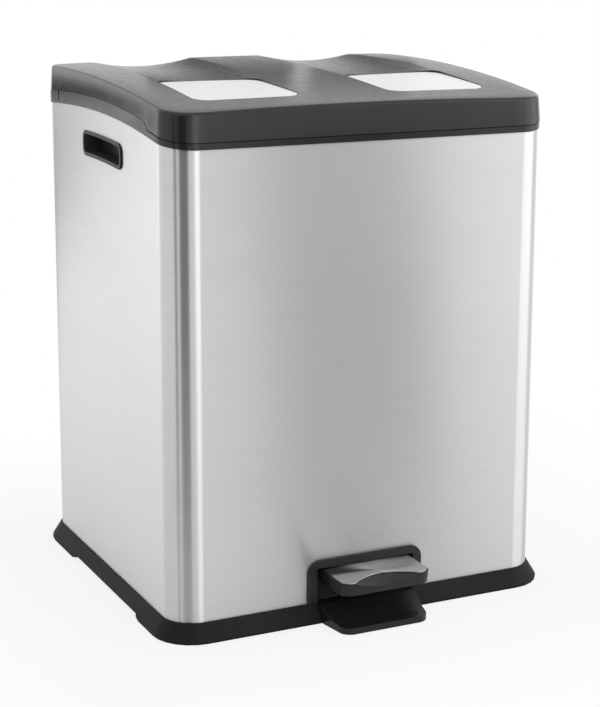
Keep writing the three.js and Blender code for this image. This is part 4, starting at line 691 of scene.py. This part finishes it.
# ---------------------------------------------------------------- label plates
# Two white plates with round corners, one at the front of each scoop. Each lies in a pocket of the
# lid with a fine gap all round, level in front and let in a little at the back.
PLATE_MARGIN = 0.9 * MM
PLATE_FROM_FRONT, PLATE_LENGTH = 42.5 * MM, 104 * MM
PLATE_CORNER, PLATE_CORNER_STEPS = 15 * MM, 10
PLATE_ROW_STEP = 12 * MM
PLATE_THICK = 1.4 * MM
PLATE_SINK_BACK = 2.2 * MM
PLATE_GAP, PLATE_GAP_UNDER = 0.45 * MM, 0.3 * MM
POCKET_CUT_ABOVE = 20 * MM
PLATE_DARK, PLATE_LIGHT = (0.88, 0.88, 0.88), (0.92, 0.92, 0.92)
plate_front = steel_low.y + PLATE_FROM_FRONT
plate_back = plate_front + PLATE_LENGTH


def plate_top(x, y):
    """The plate spans its scoop from crease to crease."""
    along = min(1, max(0, (y - plate_front) / PLATE_LENGTH))
    inner, outer = crease(y, 0), crease(y, 1)
    across = (abs(x) - inner) / (outer - inner)
    low, high = lid_crown(inner, y), lid_crown(outer, y)
    return low + (high - low) * across - PLATE_SINK_BACK * along


def plate_blank(name, side, grow, under, above):
    """A plate's outline, grown by a clearance, from under to above the plate's top."""
    near = crease(plate_front, 0) + PLATE_MARGIN - grow
    far = crease(plate_back, 1) - PLATE_MARGIN + grow
    low_x, high_x = sorted((side * near, side * far))
    blank = add_block(name, (low_x, plate_front - grow, 0), (high_x, plate_back + grow, MM))
    round_edges(runs_along(Z), PLATE_CORNER + grow, PLATE_CORNER_STEPS)
    score(X, even_steps(low_x + PLATE_CORNER, high_x - PLATE_CORNER, PLATE_ROW_STEP))
    score(Y, even_steps(plate_front + PLATE_CORNER, plate_back - PLATE_CORNER, PLATE_ROW_STEP))
    mesh = bmesh.from_edit_mesh(blank.data)
    for vertex in mesh.verts:
        rise = above if vertex.co.z > MM / 2 else -under
        vertex.co.z = plate_top(vertex.co.x, vertex.co.y) + rise
    bmesh.update_edit_mesh(blank.data)
    return blank


plate_white = moulded_plastic("white_plastic", PLATE_DARK, PLATE_LIGHT,
                              roughness=0.35, patchy=0.005, depth=0.002 * MM)
for side, word in ((-1, "left"), (1, "right")):
    cut_away(lid, plate_blank("pocket_cutter", side, PLATE_GAP, PLATE_THICK + PLATE_GAP_UNDER,
                              POCKET_CUT_ABOVE))
    plate = plate_blank(f"plate_{word}", side, 0, PLATE_THICK, 0)
    soften(plate, width=0.5 * MM, steps=3, over_degrees=60)
    put_in_place(plate, f"label_plate_{word}", plate_white)

# ---------------------------------------------------------------- lid hinge and underside
# Two steel pins run through ears on the collar, with a knuckle of the lid between each pair. A
# flat inner panel closes the underside, and the crank that lifts the lid is screwed on behind it.
HINGE_X, HINGE_SLOT_HALF = 118 * MM, 10 * MM
HINGE_GAP, HINGE_CUT_BEYOND = 0.5 * MM, 10 * MM
KNUCKLE_WIDE, KNUCKLE_RADIUS, KNUCKLE_SIDES = 8 * MM, 5.6 * MM, 32
KNUCKLE_UNDER_TOP = 2 * MM
PLATED_MOTTLE = (300, 300, 300)
PLATED_DARK, PLATED_LIGHT = (0.42, 0.425, 0.43), (0.55, 0.555, 0.56)
PLATED_ROUGHNESS = (0.3, 0.45)
pin_low, pin_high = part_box("hinge_pin_left")
hinge_y, hinge_z = (pin_low.y + pin_high.y) / 2, (pin_low.z + pin_high.z) / 2
knuckles = []
for side in (-1, 1):
    x = side * HINGE_X
    cut_away(lid, add_block("hinge_cutter",
                            (x - HINGE_SLOT_HALF, hinge_y - KNUCKLE_RADIUS, RIM_FRONT),
                            (x + HINGE_SLOT_HALF, steel_high.y + HINGE_CUT_BEYOND,
                             hinge_z + KNUCKLE_RADIUS + HINGE_GAP)))
    bpy.ops.object.select_all(action="DESELECT")
    bpy.ops.mesh.primitive_cylinder_add(
        vertices=KNUCKLE_SIDES, radius=KNUCKLE_RADIUS, depth=KNUCKLE_WIDE,
        location=(x, hinge_y, hinge_z), rotation=(0, math.pi / 2, 0))
    knuckle = bpy.context.object
    bpy.ops.object.transform_apply(location=True, rotation=True, scale=True)
    bpy.ops.object.mode_set(mode="EDIT")
    pick("VERT", lambda vertex: vertex.co.z > hinge_z)
    rise = lid_top(x, hinge_y) - hinge_z - KNUCKLE_RADIUS - KNUCKLE_UNDER_TOP
    bpy.ops.transform.translate(value=(0, 0, rise))
    bpy.ops.object.mode_set(mode="OBJECT")
    knuckles.append(knuckle)
select_only(*knuckles, lid)
bpy.ops.object.join()
put_in_place(lid, "lid_shell", charcoal, LID_SMOOTH_DEGREES, flat_sided=False)


def plated_steel(name):
    """Zinc-plated wire, bar and pins: dull, with fine mottling."""
    finish, tree, shader = new_finish(name)
    mottle = grain(tree, PLATED_MOTTLE)
    tint(tree, shader, mottle, PLATED_DARK, PLATED_LIGHT)
    tree.links.new(spread(tree, mottle, *PLATED_ROUGHNESS), shader.inputs["Roughness"])
    shader.inputs["Metallic"].default_value = 1.0
    emboss(tree, shader, mottle, strength=0.1, depth=0.1 * MM)
    return finish


plated = plated_steel("dull_plated_steel")
dress("lid_inner_panel", charcoal, edge_round=0.4 * MM)
dress("lid_crank", plated, edge_round=0.3 * MM)
for word in ("left", "right"):
    dress(f"hinge_pin_{word}", plated, edge_round=0.2 * MM)
    dress(f"crank_screw_{word}", plated, edge_round=0.2 * MM)

# ---------------------------------------------------------------- pedal surround
# A black frame with two round corners, let into the sheet's doorway. Behind it a sleeve lines the
# way in for the pedal.
SURROUND_CORNER, SURROUND_CORNER_STEPS = 12 * MM, 10
SURROUND_PROUD = 2.6 * MM
OPENING_HALF, OPENING_TOP = 50 * MM, 51.2 * MM
SLEEVE_WALL, SLEEVE_OVERLAP = 2 * MM, 0.1 * MM
BLACK_DARK, BLACK_LIGHT = (0.014, 0.014, 0.0145), (0.02, 0.02, 0.021)
surround_low, surround_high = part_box("pedal_surround")
surround_back = surround_low.y + SURROUND_PROUD

surround = add_block("surround_frame", surround_low,
                     (surround_high.x, surround_back, surround_high.z))
round_edges(lambda edge: runs_along(Y)(edge) and edge.verts[0].co.z > surround_high.z - NEAR,
            SURROUND_CORNER, SURROUND_CORNER_STEPS)
sleeve_half = OPENING_HALF + SLEEVE_WALL
sleeve = add_block("sleeve", (-sleeve_half, surround_back - SLEEVE_OVERLAP, surround_low.z),
                   (sleeve_half, surround_high.y, OPENING_TOP + SLEEVE_WALL))
cut_away(surround, sleeve, "UNION")
cut_away(surround, add_block("opening_cutter", (-OPENING_HALF, surround_low.y - MM, 0),
                             (OPENING_HALF, surround_high.y + MM, OPENING_TOP)))
soften(surround, width=0.7 * MM, steps=3, over_degrees=50)
black_plastic = moulded_plastic("black_plastic", BLACK_DARK, BLACK_LIGHT, roughness=0.36)
put_in_place(surround, "pedal_surround", black_plastic)

# ---------------------------------------------------------------- toe plate
# A glossy black moulding on the floor under the pedal. It narrows to a lip with two round corners,
# and its dished top rises to a shoulder against the skirt of the base.
TOE_LIP = 6.8 * MM
TOE_FRONT_HALF = 43.5 * MM
TOE_JOINT_FROM_FRONT = 37 * MM
TOE_SHOULDER_FROM_FRONT = 42.9 * MM
TOE_STEP_FROM_FRONT = 51.9 * MM
TOE_CORNER, TOE_CORNER_STEPS = 10 * MM, 8
TOE_ROW_STEP = 3 * MM
TOE_DARK, TOE_LIGHT = (0.012, 0.012, 0.012), (0.016, 0.016, 0.016)
toe_low, toe_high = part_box("toe_plate")
toe_shoulder = toe_low.y + TOE_SHOULDER_FROM_FRONT
toe_step = toe_low.y + TOE_STEP_FROM_FRONT
toe_shoulder_rise = toe_high.z - TOE_LIP


def toe_rise(y):
    """The dish starts level at the lip and steepens towards its shoulder."""
    return toe_shoulder_rise * ((y - toe_low.y) / TOE_SHOULDER_FROM_FRONT) ** 2


toe = add_block("toe_plate_moulding", toe_low, (toe_high.x, toe_high.y, TOE_LIP))
score(Y, (toe_low.y + TOE_JOINT_FROM_FRONT,))
pick("VERT", lambda vertex: vertex.co.y < toe_low.y + NEAR)
bpy.ops.transform.resize(value=(TOE_FRONT_HALF / toe_high.x, 1, 1),
                         center_override=(0, toe_low.y, 0))
round_edges(lambda edge: runs_along(Z)(edge) and edge.verts[0].co.y < toe_low.y + NEAR,
            TOE_CORNER, TOE_CORNER_STEPS)
score(Y, even_steps(toe_low.y + TOE_CORNER - TOE_ROW_STEP, toe_shoulder, TOE_ROW_STEP))
score(Y, (toe_shoulder, toe_step))
draw_rows(Y, lambda vertex: vertex.co.z > TOE_LIP - NEAR and vertex.co.y < toe_shoulder - NEAR,
          (0, 0, 1), toe_rise)
pick("FACE", lambda face: face.normal.z > SQUARE_ON
     and toe_shoulder < face.calc_center_median().y < toe_step)
bpy.ops.mesh.extrude_region_move(TRANSFORM_OT_translate={"value": (0, 0, toe_shoulder_rise)})
pick("VERT", lambda vertex: abs(vertex.co.y - toe_shoulder) < NEAR
     and abs(vertex.co.z - TOE_LIP) < NEAR)
bpy.ops.transform.translate(value=(0, 0, toe_shoulder_rise))
bpy.ops.mesh.select_all(action="SELECT")
bpy.ops.mesh.remove_doubles(threshold=NEAR)
soften(toe, width=0.8 * MM, steps=3, over_degrees=30)
gloss_black = moulded_plastic("gloss_black_plastic", TOE_DARK, TOE_LIGHT,
                              roughness=0.22, depth=0.01 * MM)
put_in_place(toe, "toe_plate", gloss_black)

# ---------------------------------------------------------------- pedal
# A black moulded pad with a scalloped top edge and a rounded front, and a brushed steel cover on
# its top. Two screws hold the pad to a steel lever under the deck.
PAD_FOOT_INSET, PAD_FOOT_DEPTH = 1 * MM, 0.98
PAD_EDGE = 0.1 * MM
PAD_SMOOTH_DEGREES, COVER_SMOOTH_DEGREES = 25, 30
LENS_DIP = 5.5 * MM
TIP_X, TIP_SETBACK = 33 * MM, 9.5 * MM
SCALLOP = 14.5 * MM
PEDAL_COLUMNS = 40
LEVER_GAP, LEVER_CUT_BEYOND = 0.3 * MM, 10 * MM
LEVER_CUT_TOP = 43.1 * MM
COVER_DARK, COVER_LIGHT = (0.44, 0.44, 0.445), (0.5, 0.5, 0.505)
COVER_LINES, COVER_ROUGHNESS = (12, 1400, 12), (0.3, 0.38)
pad_low, pad_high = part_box("pedal_pad")
cover_low, cover_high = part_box("pedal_cover")
lever_low, lever_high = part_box("pedal_lever")


def front_line(half_wide, scallop):
    """How far back the pedal's front edge lies at each place: rounded tips, and a scallop."""
    def back_from_tip(x):
        if abs(x) > TIP_X:
            share = min(1, (abs(x) - TIP_X) / (half_wide - TIP_X))
            return TIP_SETBACK * (1 - math.sqrt(1 - share * share))
        return scallop * (1 - (x / TIP_X) ** 2)
    return back_from_tip


def score_pedal(half_wide):
    """Cuts lines front to back, closer together towards the pedal's round tips."""
    score(X, [half_wide * math.sin(math.pi * (column / PEDAL_COLUMNS - 0.5))
              for column in range(1, PEDAL_COLUMNS)])


pad = add_block("pedal_tread", pad_low, pad_high)
score_pedal(pad_high.x)
score(Z, (pad_high.z - PAD_EDGE,))
draw_rows(X, lambda vertex: vertex.co.y < pad_low.y + NEAR and vertex.co.z > pad_high.z - NEAR,
          (0, 1, 0), front_line(pad_high.x, SCALLOP))
draw_rows(X, lambda vertex: vertex.co.y < pad_low.y + NEAR and vertex.co.z < pad_high.z - NEAR,
          (0, 1, 0), front_line(pad_high.x, 0))
draw_rows(X, lambda vertex: abs(vertex.co.z - pad_high.z + PAD_EDGE) < NEAR
          and abs(vertex.co.x) < TIP_X and vertex.co.y < pad_low.y + TIP_SETBACK,
          (0, 0, -1), lambda x: LENS_DIP * (1 - (x / TIP_X) ** 2))
pick("VERT", lambda vertex: vertex.co.z < pad_low.z + NEAR)
bpy.ops.transform.resize(value=(1 - PAD_FOOT_INSET / pad_high.x, PAD_FOOT_DEPTH, 1),
                         center_override=(0, pad_high.y, pad_low.z))
soften(pad, width=0.35 * MM, steps=2, over_degrees=28)
cut_away(pad, add_block("lever_cutter", (lever_low.x - LEVER_GAP, lever_low.y - LEVER_GAP, 0),
                        (lever_high.x + LEVER_GAP, pad_high.y + LEVER_CUT_BEYOND,
                         LEVER_CUT_TOP)))
put_in_place(pad, "pedal_pad", black_plastic, PAD_SMOOTH_DEGREES)

cover = add_block("pedal_tread_cover", cover_low, cover_high)
score_pedal(cover_high.x)
draw_rows(X, lambda vertex: vertex.co.y < cover_low.y + NEAR, (0, 1, 0),
          front_line(cover_high.x, SCALLOP))
soften(cover, width=0.45 * MM, steps=3, over_degrees=50)
cover_steel = brushed_steel("brushed_cover", COVER_LINES, COVER_DARK, COVER_LIGHT, COVER_ROUGHNESS)
put_in_place(cover, "pedal_cover", cover_steel, COVER_SMOOTH_DEGREES)

dress("pedal_lever", plated, edge_round=0.4 * MM)
dress("pedal_pivot_pin", plated, edge_round=0.3 * MM)
for word in ("front", "back"):
    dress(f"pedal_screw_{word}", plated, edge_round=0.2 * MM)

# ---------------------------------------------------------------- lift rod and damper
# A steel rod rises from the lever to the lid's crank, through two guides on the back wall. A
# crosshead ties it to the damper that slows the lid as it closes.
for node in ("lift_rod", "damper_piston"):
    dress(node, plated, edge_round=0.3 * MM)
for node in ("rod_shoe", "rod_head", "rod_crosshead", "rod_guide_lower", "rod_guide_upper",
             "damper_cap"):
    dress(node, black_plastic, edge_round=0.4 * MM)
dress("damper_cylinder", plated, edge_round=0.3 * MM)

# ---------------------------------------------------------------- buckets
# Two grey tapered plastic buckets stand side by side on the base's deck. Each is lifted out by a
# wire bail with a plastic grip, which lies on the bucket's rim when it isn't used.
BUCKET_DARK, BUCKET_LIGHT = (0.085, 0.088, 0.092), (0.1, 0.103, 0.108)
BAIL_SMOOTH_DEGREES = 50
bucket_plastic = moulded_plastic("bucket_plastic", BUCKET_DARK, BUCKET_LIGHT, roughness=0.42)
for word in ("left", "right"):
    dress(f"bucket_{word}", bucket_plastic)
    dress(f"bail_{word}", plated, edge_round=0, smooth_degrees=BAIL_SMOOTH_DEGREES)
    dress(f"bail_grip_{word}", black_plastic, smooth_degrees=BAIL_SMOOTH_DEGREES)
